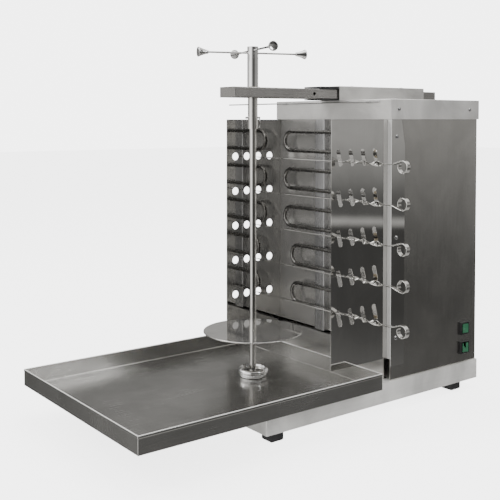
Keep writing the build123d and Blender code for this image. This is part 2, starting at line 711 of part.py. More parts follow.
def make_sleeve():
    with BuildPart() as arm_sleeve:
        with BuildSketch(Plane((0, 0, cap_top), x_dir=(1, 0, 0), z_dir=(0, -1, 0))):
            with Locations((0, (sleeve_top - cap_top) / 2)):
                Rectangle(2 * sleeve_half, sleeve_top - cap_top)
            with Locations((0, (guide_top - cap_top) / 2)):
                Rectangle(2 * guide_half, guide_top - cap_top, mode=Mode.SUBTRACT)
        extrude(amount=-SLEEVE_LENGTH)
        with BuildSketch(Plane.XY.offset(guide_top)):
            with Locations(*[(0, y) for y in SLEEVE_SCREW_Y]):
                Circle(SCREW_R + SCREW_FIT)
        extrude(amount=SLEEVE_WALL, mode=Mode.SUBTRACT)
        fillet(arm_sleeve.edges().filter_by(Axis.Y).group_by(Axis.Z)[-1], SLEEVE_WALL)
    save("arm_sleeve", arm_sleeve)

    with BuildPart() as arm_guide:
        with BuildSketch(Plane((0, -GUIDE_NOSE, cap_top), x_dir=(1, 0, 0), z_dir=(0, -1, 0))):
            with Locations((0, (guide_top - cap_top) / 2)):
                Rectangle(2 * guide_half, guide_top - cap_top)
            with Locations((0, arm_bottom - SLIDE_GAP - cap_top + ARM_HEIGHT / 2 + SLIDE_GAP)):
                Rectangle(ARM_WIDTH + 2 * SLIDE_GAP, ARM_HEIGHT + 2 * SLIDE_GAP, mode=Mode.SUBTRACT)
        extrude(amount=-(GUIDE_NOSE + SLEEVE_LENGTH - SLEEVE_WALL))
        with BuildSketch(Plane((0, -GUIDE_NOSE, arm_bottom - SLIDE_GAP), x_dir=(1, 0, 0), z_dir=(0, -1, 0))):
            with Locations((0, ARM_HEIGHT / 2 + SLIDE_GAP)):
                Rectangle(2 * guide_half, ARM_HEIGHT + 2 * SLIDE_GAP)
        extrude(amount=-GUIDE_NOSE, mode=Mode.SUBTRACT)
        with BuildSketch(Plane.XY.offset(guide_top)):
            with Locations(*[(0, y) for y in SLEEVE_SCREW_Y]):
                Circle(SCREW_R + SCREW_FIT)
        extrude(amount=-GUIDE_ROOF, mode=Mode.SUBTRACT)
    save("arm_guide", arm_guide)

    make_screws("sleeve_screws", [Plane((0, y, sleeve_top)) for y in SLEEVE_SCREW_Y])


# Spit

def make_spit():
    pin_plane = Plane((0, SPIT_Y, SPIT_PIN_Z), x_dir=(0, 0, 1), z_dir=pin_direction())
    with BuildPart() as spit_rod:
        with BuildSketch(spit_plane(rod_bottom)):
            Circle(ROD_R)
        extrude(amount=ROD_TOP - rod_bottom)
        chamfer(spit_rod.edges(), ROD_R * 0.15)
        for z in ROD_PIN_HOLE_Z:
            with BuildSketch(Plane((0, SPIT_Y, z), x_dir=(0, 0, 1), z_dir=pin_direction())):
                Circle(ROD_PIN_HOLE_R)
            extrude(amount=ROD_R * 2, both=True, mode=Mode.SUBTRACT)
        with BuildSketch(pin_plane):
            Circle(SPIT_PIN_R + RUNNING_FIT)
        extrude(amount=ROD_R * 2, both=True, mode=Mode.SUBTRACT)
    save("spit_rod", spit_rod)

    with BuildPart() as spit_tube:
        with BuildSketch(spit_plane(SPIT_TUBE_BOTTOM)):
            Circle(SPIT_TUBE_R)
            Circle(ROD_R + RUNNING_FIT, mode=Mode.SUBTRACT)
        extrude(amount=HANDLE_TOP - SPIT_TUBE_BOTTOM - BUSH_FLANGE)
        with BuildSketch(pin_plane):
            Circle(SPIT_PIN_R + RUNNING_FIT)
        extrude(amount=SPIT_TUBE_R * 2, both=True, mode=Mode.SUBTRACT)
        for plane in spoke_planes():
            with BuildSketch(plane):
                Circle(SPOKE_R + RUNNING_FIT)
            extrude(amount=HANDLE_TUBE_R * 1.5, both=True, mode=Mode.SUBTRACT)
    save("spit_tube", spit_tube)

    with BuildPart() as handle_tube:
        with BuildSketch(spit_plane(handle_bottom)):
            Circle(HANDLE_TUBE_R)
            Circle(SPIT_TUBE_R + RUNNING_FIT, mode=Mode.SUBTRACT)
        extrude(amount=HANDLE_TOP - handle_bottom)
        for plane in spoke_planes():
            with BuildSketch(plane):
                Circle(SPOKE_R + RUNNING_FIT)
            extrude(amount=HANDLE_TUBE_R * 1.5, both=True, mode=Mode.SUBTRACT)
    save("handle_tube", handle_tube)

    pin_half = SPIT_TUBE_R + SPIT_PIN_PAST
    with BuildPart() as spit_pin:
        with BuildSketch(pin_plane):
            Circle(SPIT_PIN_R)
        extrude(amount=pin_half, both=True)
        chamfer(spit_pin.edges(), SPIT_PIN_R * 0.3)
        with BuildSketch(Plane(pin_ring_centre(0), x_dir=(0, 0, 1), z_dir=pin_side())):
            Circle(PIN_RING_WIRE_R * 1.2)
        extrude(amount=SPIT_PIN_R * 2, both=True, mode=Mode.SUBTRACT)
    save("spit_pin", spit_pin)

    with BuildPart() as pin_ring:
        with BuildSketch(Plane(pin_ring_centre(0), x_dir=(0, 0, 1), z_dir=pin_side())):
            RegularPolygon(PIN_RING_WIRE_R, 8)
        revolve(axis=Axis(pin_ring_centre(-PIN_RING_R), pin_direction()))
    save("spit_pin_ring", pin_ring)


def pin_direction():
    turn = math.radians(SPOKE_TURN)
    return (math.cos(turn), math.sin(turn), 0)


def pin_side():
    turn = math.radians(SPOKE_TURN + 90)
    return (math.cos(turn), math.sin(turn), 0)


def pin_ring_centre(drop):
    """The centre of the split ring that hangs from the pin's outer end."""
    reach = SPIT_TUBE_R + SPIT_PIN_PAST - 2 * SPIT_PIN_R
    x, y, _ = pin_direction()
    return (x * reach, SPIT_Y + y * reach, SPIT_PIN_Z + drop)


def spoke_planes():
    low = math.radians(SPOKE_TURN)
    high = math.radians(SPOKE_TURN - 90)
    return (Plane((0, SPIT_Y, SPOKE_LOW_Z), x_dir=(0, 0, 1), z_dir=(math.cos(low), math.sin(low), 0)),
            Plane((0, SPIT_Y, SPOKE_HIGH_Z), x_dir=(0, 0, 1), z_dir=(math.cos(high), math.sin(high), 0)))


def make_handle():
    with BuildPart() as handle_spokes:
        for plane in spoke_planes():
            with BuildSketch(plane):
                Circle(SPOKE_R)
            extrude(amount=SPOKE_REACH, both=True)
    save("handle_spokes", handle_spokes)

    number = 1
    for plane in spoke_planes():
        for way in (1, -1):
            along = plane.z_dir * way
            root = plane.origin + along * (SPOKE_REACH + KNOB_FACE * 2 - KNOB_LENGTH)
            with BuildPart() as knob:
                with BuildSketch(Plane(root, x_dir=(0, 0, 1), z_dir=along)):
                    Circle(KNOB_NECK_R)
                with BuildSketch(Plane(root + along * (KNOB_LENGTH - KNOB_FACE), x_dir=(0, 0, 1), z_dir=along)):
                    Circle(KNOB_R)
                loft()
                with BuildSketch(Plane(root + along * (KNOB_LENGTH - KNOB_FACE), x_dir=(0, 0, 1), z_dir=along)):
                    Circle(KNOB_R)
                extrude(amount=KNOB_FACE)
                with BuildSketch(Plane(root, x_dir=(0, 0, 1), z_dir=along)):
                    Circle(SPOKE_R + RUNNING_FIT)
                extrude(amount=KNOB_LENGTH - 2 * KNOB_FACE, mode=Mode.SUBTRACT)
            save(f"handle_knob_{number}", knob)
            number += 1


def make_plate():
    with BuildPart() as meat_plate:
        with BuildSketch(spit_plane(PLATE_Z)):
            Circle(PLATE_R)
            Circle(ROD_R + RUNNING_FIT, mode=Mode.SUBTRACT)
        extrude(amount=PLATE_THICK)
        chamfer(meat_plate.edges().filter_by(GeomType.CIRCLE).sort_by(SortBy.LENGTH)[-2:], PLATE_THICK * 0.25)
    save("meat_plate", meat_plate)

    with BuildPart() as plate_collar:
        with BuildSketch(spit_plane(PLATE_Z - COLLAR_HEIGHT)):
            Circle(COLLAR_R)
            Circle(ROD_R + RUNNING_FIT, mode=Mode.SUBTRACT)
        extrude(amount=COLLAR_HEIGHT)
    save("plate_collar", plate_collar)


def make_cup():
    """The bearing cup: a turned puck with a wide recess and a blind bore for the rod's foot."""
    with BuildPart() as spit_cup:
        with BuildSketch(spit_plane(cup_bottom)):
            Circle(CUP_R)
        extrude(amount=CUP_HEIGHT)
        chamfer(spit_cup.edges().sort_by(Axis.Z)[-1], CUP_BEVEL)
        chamfer(spit_cup.edges().sort_by(Axis.Z)[0], CUP_BEVEL / 2)
        with BuildSketch(spit_plane(cup_top)):
            Circle(CUP_RECESS_R)
        extrude(amount=-CUP_RECESS_DEPTH, mode=Mode.SUBTRACT)
        with BuildSketch(spit_plane(cup_top)):
            Circle(ROD_R + RUNNING_FIT)
        extrude(amount=cup_seat - cup_top, mode=Mode.SUBTRACT)
    save("spit_cup", spit_cup)


# Switches

def make_switch(number, z):
    face = Plane((housing_half, SWITCH_Y, z), x_dir=(0, 1, 0), z_dir=(1, 0, 0))
    opening_width = ROCKER_WIDTH + 2 * ROCKER_GAP
    opening_height = ROCKER_HEIGHT + 2 * ROCKER_GAP
    with BuildPart() as switch_body:
        with BuildSketch(face):
            RectangleRounded(BEZEL_SIDE, BEZEL_SIDE, 1.5)
        extrude(amount=BEZEL_PROUD)
        chamfer(switch_body.faces().sort_by(Axis.X)[-1].edges(), 1.2)
        with BuildSketch(face):
            Rectangle(SWITCH_BODY_SIDE, SWITCH_BODY_SIDE)
        extrude(amount=-SWITCH_BODY_DEPTH)
        with BuildSketch(face.offset(BEZEL_PROUD)):
            Rectangle(opening_width, opening_height)
        extrude(amount=-(BEZEL_PROUD + SWITCH_BODY_DEPTH / 2), mode=Mode.SUBTRACT)
    save(f"switch_body_{number}", switch_body)

    tilt = math.radians(ROCKER_TILT)
    half = ROCKER_WIDTH / 2 - ROCKER_GAP
    pivot = Plane((housing_half + BEZEL_PROUD - PIVOT_DEPTH, SWITCH_Y, z - ROCKER_HEIGHT / 2),
                  x_dir=(math.cos(tilt), -math.sin(tilt), 0), z_dir=(0, 0, 1))
    with BuildPart() as rocker:
        with BuildSketch(pivot):
            with BuildLine():
                Polyline((-ROCKER_BACK, -half * 0.65), (ROCKER_EDGE, -half), (ROCKER_EDGE - ROCKER_DISH, 0),
                         (ROCKER_EDGE, half), (-ROCKER_BACK, half * 0.65), close=True)
            make_face()
        extrude(amount=ROCKER_HEIGHT)
    save(f"rocker_{number}", rocker)


# Back and top fittings

def make_gland():
    outer = Plane((GLAND_X, HOUSING_DEPTH + PANEL, GLAND_Z), x_dir=(1, 0, 0), z_dir=(0, 1, 0))
    with BuildPart() as cable_gland:
        with BuildSketch(outer):
            RegularPolygon(GLAND_R * 1.2, 6)
        extrude(amount=GLAND_LENGTH / 3)
        with BuildSketch(outer.offset(GLAND_LENGTH / 3)):
            Circle(GLAND_R)
        extrude(amount=GLAND_LENGTH * 2 / 3)
        chamfer(cable_gland.faces().sort_by(Axis.Y)[-1].edges(), GLAND_R * 0.2)
        with BuildSketch(outer):
            Circle(GLAND_R * 0.75 - SCREW_FIT)
        extrude(amount=-GLAND_LENGTH / 2)
        with BuildSketch(outer.offset(GLAND_LENGTH)):
            Circle(GLAND_BORE_R)
        extrude(amount=-2 * GLAND_LENGTH, mode=Mode.SUBTRACT)
    save("cable_gland", cable_gland)


def make_rest_rod():
    rod_y = cap_front - REST_ROD_R - SLIDE_GAP
    with BuildPart() as rest_rod:
        with BuildSketch(Plane((REST_ROD_LEFT, rod_y, REST_ROD_Z), x_dir=(0, 1, 0), z_dir=(1, 0, 0))):
            Circle(REST_ROD_R)
        extrude(amount=REST_ROD_RIGHT - REST_ROD_LEFT)
    save("rest_rod", rest_rod)

    with BuildPart() as rest_rod_clips:
        for x in CLIP_X:
            with BuildSketch(Plane((x - CLIP_LENGTH / 2, rod_y, REST_ROD_Z), x_dir=(0, 1, 0), z_dir=(1, 0, 0))):
                Circle(REST_ROD_R + RUNNING_FIT + CLIP_WALL)
                with Locations(((cap_front - rod_y) / 2, 0)):
                    Rectangle(cap_front - rod_y, 2 * (REST_ROD_R + CLIP_WALL))
                Circle(REST_ROD_R + RUNNING_FIT, mode=Mode.SUBTRACT)
                with Locations(((cap_front - rod_y) + CLIP_WALL * 2, 0)):
                    Rectangle(CLIP_WALL * 4, 4 * (REST_ROD_R + CLIP_WALL), mode=Mode.SUBTRACT)
            extrude(amount=CLIP_LENGTH)
    save("rest_rod_clips", rest_rod_clips)


make_base()
make_feet()
make_rails()
make_side_panel("side_panel_left", -1)
make_side_panel("side_panel_right", 1)
make_back_panel()
make_cap()
make_reflector()
for heater_index in range(HEATER_COUNT):
    make_heater(heater_index)
make_heater_fittings()
make_wing("wing_left", -1)
make_wing("wing_right", 1)
make_wing_screws()
for skewer_row in range(ROW_COUNT):
    make_skewer(skewer_row)
make_tray()
make_arm()
make_sleeve()
make_spit()
make_handle()
make_plate()
make_cup()
for switch_number, switch_z in enumerate(SWITCH_Z, start=1):
    make_switch(switch_number, switch_z)
make_gland()
make_rest_rod()
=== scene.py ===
"""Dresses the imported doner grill: polished wings, brushed housing, drip tray, spit, skewers and heaters.

Every length is in metres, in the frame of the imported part: +Z up, -Y to the front, +X to the right.
"""

import logging
import math
from dataclasses import dataclass, field
from enum import Enum
from functools import cache, partial, reduce

import bpy
import numpy as np
from bpy.types import ID, Material, Mesh, Node, NodeSocket as Socket, NodeTree, Object
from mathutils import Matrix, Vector


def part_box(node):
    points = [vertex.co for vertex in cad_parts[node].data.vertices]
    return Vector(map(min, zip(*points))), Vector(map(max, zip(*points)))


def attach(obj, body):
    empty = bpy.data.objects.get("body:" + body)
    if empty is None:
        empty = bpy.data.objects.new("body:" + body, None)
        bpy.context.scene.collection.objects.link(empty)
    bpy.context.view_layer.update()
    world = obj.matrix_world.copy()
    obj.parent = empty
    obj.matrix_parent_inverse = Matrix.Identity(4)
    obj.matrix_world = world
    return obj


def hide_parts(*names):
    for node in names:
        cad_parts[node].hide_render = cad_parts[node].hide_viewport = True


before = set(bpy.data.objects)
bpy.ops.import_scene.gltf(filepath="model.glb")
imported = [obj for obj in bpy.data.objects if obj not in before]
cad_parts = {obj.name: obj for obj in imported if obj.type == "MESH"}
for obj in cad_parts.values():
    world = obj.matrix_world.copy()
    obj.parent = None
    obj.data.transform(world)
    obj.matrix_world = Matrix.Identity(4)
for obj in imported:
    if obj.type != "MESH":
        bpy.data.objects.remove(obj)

log = logging.getLogger("doner_grill")
MM = 0.001
UP = Vector((0.0, 0.0, 1.0))
WHITE = (1.0, 1.0, 1.0, 1.0)
NUMBER, COLOUR = "NodeSocketFloat", "NodeSocketColor"
SOCKET_TYPES = {type(None): "NodeSocketVector", float: NUMBER, tuple: COLOUR}

Pair = tuple[float, float]
Triple = tuple[float, float, float]


# Node tools and shared shader groups


class Bench:
    """Adds and joins the nodes of one node tree."""

    def __init__(self, tree: NodeTree) -> None:
        """Keeps the tree that the nodes go into."""
        self.tree = tree

    def put(self, value: object, socket: Socket) -> None:
        """Fills an input socket.

        Args:
            value: an output socket to link, or a plain value to set.
            socket: the input socket.
        """
        if isinstance(value, Socket):
            self.tree.links.new(value, socket)
        else:
            socket.default_value = value

    def add(self, kind: str, **settings: object) -> Node:
        """Adds a node.

        Args:
            kind: the node's type name.
            settings: attributes to set on it.

        Returns:
            The new node.
        """
        node = self.tree.nodes.new(kind)
        for name, value in settings.items():
            setattr(node, name, value)
        return node

    def feed(self, node: Node, **inputs: object) -> Node:
        """Fills a node's inputs by name, with _ for a space.

        Args:
            node: the node to feed.
            inputs: values or output sockets.

        Returns:
            The same node.
        """
        for name, value in inputs.items():
            self.put(value, node.inputs[name.replace("_", " ")])
        return node

    def math(self, operation: str, first: object, second: object = 0.0) -> Socket:
        """Adds a math node.

        Args:
            operation: what it works out.
            first: a number or an output socket.
            second: another.

        Returns:
            The result.
        """
        node = self.add("ShaderNodeMath", operation=operation)
        self.put(first, node.inputs[0])
        self.put(second, node.inputs[1])
        return node.outputs[0]

    def product(self, *factors: object) -> Socket:
        """Multiplies numbers or output sockets, from left to right."""
        return reduce(partial(self.math, "MULTIPLY"), factors)

    def spread(self, value: Socket, low: float, high: float, to_low: object, to_high: object) -> Socket:
        """Maps a value from low to high onto to_low to to_high, and holds it at both ends."""
        node = self.add("ShaderNodeMapRange", clamp=True)
        return self.feed(node, Value=value, From_Min=low, From_Max=high, To_Min=to_low, To_Max=to_high).outputs["Result"]

    def mix(self, share: object, first: object, second: object, blend: str = "MIX") -> Socket:
        """Mixes two colours.

        Args:
            share: how much of the second there is.
            first: an output socket or three numbers.
            second: another.
            blend: how they blend.

        Returns:
            The mixed colour.
        """
        node = self.add("ShaderNodeMix", data_type="RGBA", blend_type=blend)
        self.put(share, node.inputs[0])
        for socket, colour in ((node.inputs[6], first), (node.inputs[7], second)):
            self.put((*colour, 1.0) if isinstance(colour, tuple) else colour, socket)
        return node.outputs[2]

    def split(self, vector: Socket) -> Node:
        """Splits a vector and returns the node whose outputs are X, Y and Z."""
        return self.feed(self.add("ShaderNodeSeparateXYZ"), Vector=vector)

    def noise(self, **inputs: object) -> Socket:
        """Adds a noise fed by name and returns its value, around 0.5."""
        return self.feed(self.add("ShaderNodeTexNoise"), **inputs).outputs["Fac"]

    def group(self, tree: NodeTree, **inputs: object) -> Node:
        """Places a shared group, fed by name, and returns its node."""
        return self.feed(self.add("ShaderNodeGroup", node_tree=tree), **inputs)

    def emboss(self, shader: Node, height: Socket, strength: float, distance: float = 0.4 * MM) -> None:
        """Gives a shader a relief of a height that shows with a strength over a distance."""
        bump = self.feed(self.add("ShaderNodeBump"), Height=height, Strength=strength, Distance=distance)
        self.feed(shader, Normal=bump.outputs["Normal"])


class GroupKit:
    """The shader node groups that several finishes share; each is built once and kept."""

    @staticmethod
    def begin(name: str, inputs: dict[str, object], outputs: dict[str, str]) -> tuple[Bench, dict[str, Socket], Node]:
        """Makes an empty group with its sockets.

        Args:
            name: the group's name.
            inputs: each input's default by name, which also gives its type; None is a vector.
            outputs: each output's socket type by name.

        Returns:
            A bench on the group, what it is given by name, and its output node.
        """
        tree = bpy.data.node_groups.new(name, "ShaderNodeTree")
        for label, default in inputs.items():
            socket = tree.interface.new_socket(name=label, in_out="INPUT", socket_type=SOCKET_TYPES[type(default)])
            if default is not None:
                socket.default_value = default
        for label, kind in outputs.items():
            tree.interface.new_socket(name=label, in_out="OUTPUT", socket_type=kind)
        bench = Bench(tree)
        given = bench.add("NodeGroupInput")
        return bench, {label: given.outputs[label] for label in inputs}, bench.add("NodeGroupOutput")

    @cache
    def brushing(self) -> NodeTree:
        """Long fine streaks: noise read at a position stretched along the brushing, around 0.5."""
        bench, given, result = self.begin(
            "brushing", {"Position": None, "Stretch": None, "Contrast": 0.4}, {"Shade": NUMBER})
        scaled = bench.add("ShaderNodeVectorMath", operation="MULTIPLY")
        bench.put(given["Position"], scaled.inputs[0])
        bench.put(given["Stretch"], scaled.inputs[1])
        streaks = bench.noise(Vector=scaled.outputs[0], Scale=1.0, Detail=6.0, Roughness=0.62)
        half = bench.product(given["Contrast"], 0.5)
        low, high = bench.math("SUBTRACT", 0.5, half), bench.math("ADD", 0.5, half)
        bench.feed(result, Shade=bench.spread(streaks, 0.3, 0.7, low, high))
        return bench.tree

    @cache
    def smudges(self) -> NodeTree:
        """Soft clouds from wiping: slow distorted noise mapped between two values."""
        bench, given, result = self.begin(
            "smudges", {"Position": None, "Scale": 6.0, "Low": 0.2, "High": 0.4}, {"Value": NUMBER})
        clouds = bench.noise(Vector=given["Position"], Scale=given["Scale"], Detail=4.0, Distortion=0.8)
        bench.feed(result, Value=bench.spread(clouds, 0.35, 0.68, given["Low"], given["High"]))
        return bench.tree

    @cache
    def scuffs(self) -> NodeTree:
        """Thin stray scratches: the narrow band where a warped noise crosses its middle value."""
        bench, given, result = self.begin(
            "scuffs", {"Position": None, "Scale": 30.0, "Width": 0.006}, {"Mask": NUMBER})
        warped = bench.noise(Vector=given["Position"], Scale=given["Scale"], Detail=1.5, Distortion=2.2)
        away = bench.math("ABSOLUTE", bench.math("SUBTRACT", warped, 0.5))
        bench.feed(result, Mask=bench.math("LESS_THAN", away, given["Width"]))
        return bench.tree

    @cache
    def oxide(self) -> NodeTree:
        """Heat colour: blotches between a dark colour and a scale's colour, for what glows in use."""
        bench, given, result = self.begin(
            "oxide", {"Position": None, "Dark": (0.05, 0.05, 0.05, 1), "Scale": (0.2, 0.17, 0.13, 1)},
            {"Colour": COLOUR, "Blotch": NUMBER})
        rust = bench.noise(Vector=given["Position"], Scale=55.0, Detail=5.0, Roughness=0.65)
        blotch = bench.spread(rust, 0.36, 0.64, 0.0, 1.0)
        bench.feed(result, Colour=bench.mix(blotch, given["Dark"], given["Scale"]), Blotch=blotch)
        return bench.tree


groups = GroupKit()


class Grain(Enum):
    """Which way a sheet is brushed, as how fast the streaks change along X, Y and Z."""

    UPRIGHT = (1300.0, 1300.0, 9.0)
    DEPTH = (1300.0, 9.0, 1300.0)
    ACROSS = (9.0, 1300.0, 1300.0)
    NONE = (190.0, 190.0, 190.0)


# Finishes


@dataclass(frozen=True)
class Finish:
    """What every finish shares: its name, its colour, its roughness and how it starts a material."""

    name: str
    colour: Triple
    roughness: float

    def begin(self) -> tuple[Material, Bench, Node, Socket]:
        """Starts a node material.

        Returns:
            The material, its bench, its surface shader and the object position.
        """
        material = bpy.data.materials.new(self.name)
        material.use_nodes = True
        material.diffuse_color = (*self.colour, 1.0)
        bench = Bench(material.node_tree)
        place = bench.add("ShaderNodeTexCoord").outputs["Object"]
        return material, bench, material.node_tree.nodes["Principled BSDF"], place

    def build(self) -> Material:
        """Builds the material; each kind of finish has its own way."""
        raise NotImplementedError


@dataclass(frozen=True)
class SheetSteel(Finish):
    """Stainless sheet or bar: streaks along the grain, wiped smudges, stray scuffs and perhaps a pale matt zone.

    Contrast is the streaks' strength, smudge how far wiping dulls the gloss, relief how strongly the streaks
    stand out, scuffed how much a scratch dulls the gloss, and tone how far wiping darkens the colour.
    """

    grain: Grain = Grain.NONE
    contrast: float = 0.3
    smudge: float = 0.08
    relief: float = 0.03
    scuffed: float = 0.0
    metallic: float = 1.0
    tone: float = 0.12
    streak_dark: float = 0.78
    streak_light: float = 1.16
    streak_gloss: float = 0.16
    wipe_scale: float = 9.0
    wipe_gain: float = 0.4
    cloud_scale: float = 5.0
    scuff_scale: float = 26.0
    scuff_width: float = 0.004
    zone_colour: Triple = (0.80, 0.79, 0.77)
    zone_metallic: float = 0.4
    zone_dull: float = 0.3

    def zone(self, bench: Bench, place: Socket) -> Socket | None:
        """Marks the pale zone by its place; a plain sheet has none."""
        return None

    def build(self) -> Material:
        """Builds the steel: streaks tint the colour and roughness, smudges and scuffs change the gloss."""
        material, bench, shader, place = self.begin()
        streak = bench.group(groups.brushing(), Position=place, Stretch=self.grain.value, Contrast=self.contrast)
        shade = streak.outputs["Shade"]
        dark, light = (tuple(min(1.0, c * gain) for c in self.colour) for gain in (self.streak_dark, self.streak_light))
        wiped = bench.group(groups.smudges(), Position=place, Scale=self.wipe_scale, Low=1.0 - self.tone,
                            High=1.0 + self.wipe_gain * self.tone)
        colour = bench.mix(1.0, bench.mix(shade, dark, light), wiped.outputs["Value"], "MULTIPLY")
        cloud = bench.group(groups.smudges(), Position=place, Scale=self.cloud_scale, Low=self.roughness,
                            High=self.roughness + self.smudge)
        uneven = bench.product(bench.math("SUBTRACT", shade, 0.5), self.streak_gloss)
        rough = bench.math("ADD", cloud.outputs["Value"], uneven)
        if self.scuffed > 0:
            marks = bench.group(groups.scuffs(), Position=place, Scale=self.scuff_scale, Width=self.scuff_width)
            rough = bench.math("ADD", rough, bench.product(marks.outputs["Mask"], self.scuffed))
        # the zone: on the wings a painted highlight along the bend, on the tray a pale matt rim
        metallic, zone = self.metallic, self.zone(bench, place)
        if zone is not None:
            colour = bench.mix(zone, colour, self.zone_colour)
            metallic = bench.spread(zone, 0.0, 1.0, metallic, self.zone_metallic)
            rough = bench.math("ADD", rough, bench.product(zone, self.zone_dull))
        bench.feed(shader, Base_Color=colour, Roughness=rough, Metallic=metallic)
        bench.emboss(shader, shade, self.relief)
        return material


@dataclass(frozen=True)
class WingSteel(SheetSteel):
    """Mirror sheet whose narrow step beside the housing is painted pale and matt: a painted highlight along the bend.
    """

    # the painted highlight's colour, metal and dullness
    zone_colour: Triple = (0.82, 0.81, 0.79)
    zone_metallic: float = 0.3
    zone_dull: float = 0.4
    # where the painted highlight lies: out past this distance from the middle, between two depths
    highlight_from: float = 172.3 * MM
    highlight_front: float = -1.6 * MM
    highlight_back: float = 0.3 * MM

    def zone(self, bench: Bench, place: Socket) -> Socket:
        """Marks the step that carries the painted highlight, which lies out past the plate and between two depths.

        Args:
            bench: the material's bench.
            place: the object position.

        Returns:
            1 on the step and 0 elsewhere.
        """
        x, y, _ = bench.split(place).outputs
        outside = bench.math("GREATER_THAN", bench.math("ABSOLUTE", x), self.highlight_from)
        behind = bench.math("GREATER_THAN", y, self.highlight_front)
        return bench.product(outside, behind, bench.math("LESS_THAN", y, self.highlight_back))


@dataclass(frozen=True)
class TraySteel(SheetSteel):
    """Brushed sheet whose hemmed rim is made pale and matt."""

    rim_from: float = 77.4 * MM

    def zone(self, bench: Bench, place: Socket) -> Socket:
        """Marks the rim by its height."""
        return bench.math("GREATER_THAN", bench.split(place).outputs["Z"], self.rim_from)


@dataclass(frozen=True)
class ScaledSteel(Finish):
    """Steel that has been hot: a dark sheath with duller blotches of scale."""

    scale_colour: Triple = (0.2, 0.17, 0.13)
    metallic: float = 0.75
    scale_dull: float = 0.18
    relief: float = 0.15

    def build(self) -> Material:
        """Builds the heated steel: blotches mix two colours and lift the roughness."""
        material, bench, shader, place = self.begin()
        dark, scale = ((*colour, 1.0) for colour in (self.colour, self.scale_colour))
        oxide = bench.group(groups.oxide(), Position=place, Dark=dark, Scale=scale)
        blotch = oxide.outputs["Blotch"]
        rough = bench.spread(blotch, 0.0, 1.0, self.roughness, self.roughness + self.scale_dull)
        bench.feed(shader, Base_Color=oxide.outputs["Colour"], Roughness=rough, Metallic=self.metallic)
        bench.emboss(shader, blotch, self.relief)
        return material


@dataclass(frozen=True)
class Moulded(Finish):
    """Plastic, rubber or fibre: a faint moulded texture, uneven wear and, where glow is set, a painted glow."""

    texture: float = 900.0
    relief: float = 0.2
    coat: float = 0.0
    glow: float = 0.0
    coat_roughness: float = 0.08
    wear_scale: float = 22.0
    wear_dull: float = 0.12
    wear_gain: float = 1.35
    wear_lift: float = 0.012

    def build(self) -> Material:
        """Builds the moulded stuff: fine noise as relief, slow noise in colour and gloss."""
        material, bench, shader, place = self.begin()
        wear = bench.group(groups.smudges(), Position=place, Scale=self.wear_scale, Low=0.0, High=1.0).outputs["Value"]
        worn = tuple(min(1.0, c * self.wear_gain + self.wear_lift) for c in self.colour)
        bench.feed(shader, Base_Color=bench.mix(wear, self.colour, worn), Metallic=0.0, Coat_Weight=self.coat,
                   Roughness=bench.spread(wear, 0.0, 1.0, self.roughness, self.roughness + self.wear_dull),
                   Coat_Roughness=self.coat_roughness)
        bench.emboss(shader, bench.noise(Vector=place, Scale=self.texture, Detail=3.0), self.relief, 0.3 * MM)
        # painted glow: the part shines a little by itself though it holds no lamp
        if self.glow > 0:
            bench.feed(shader, Emission_Color=(*self.colour, 1.0), Emission_Strength=self.glow)
        return material


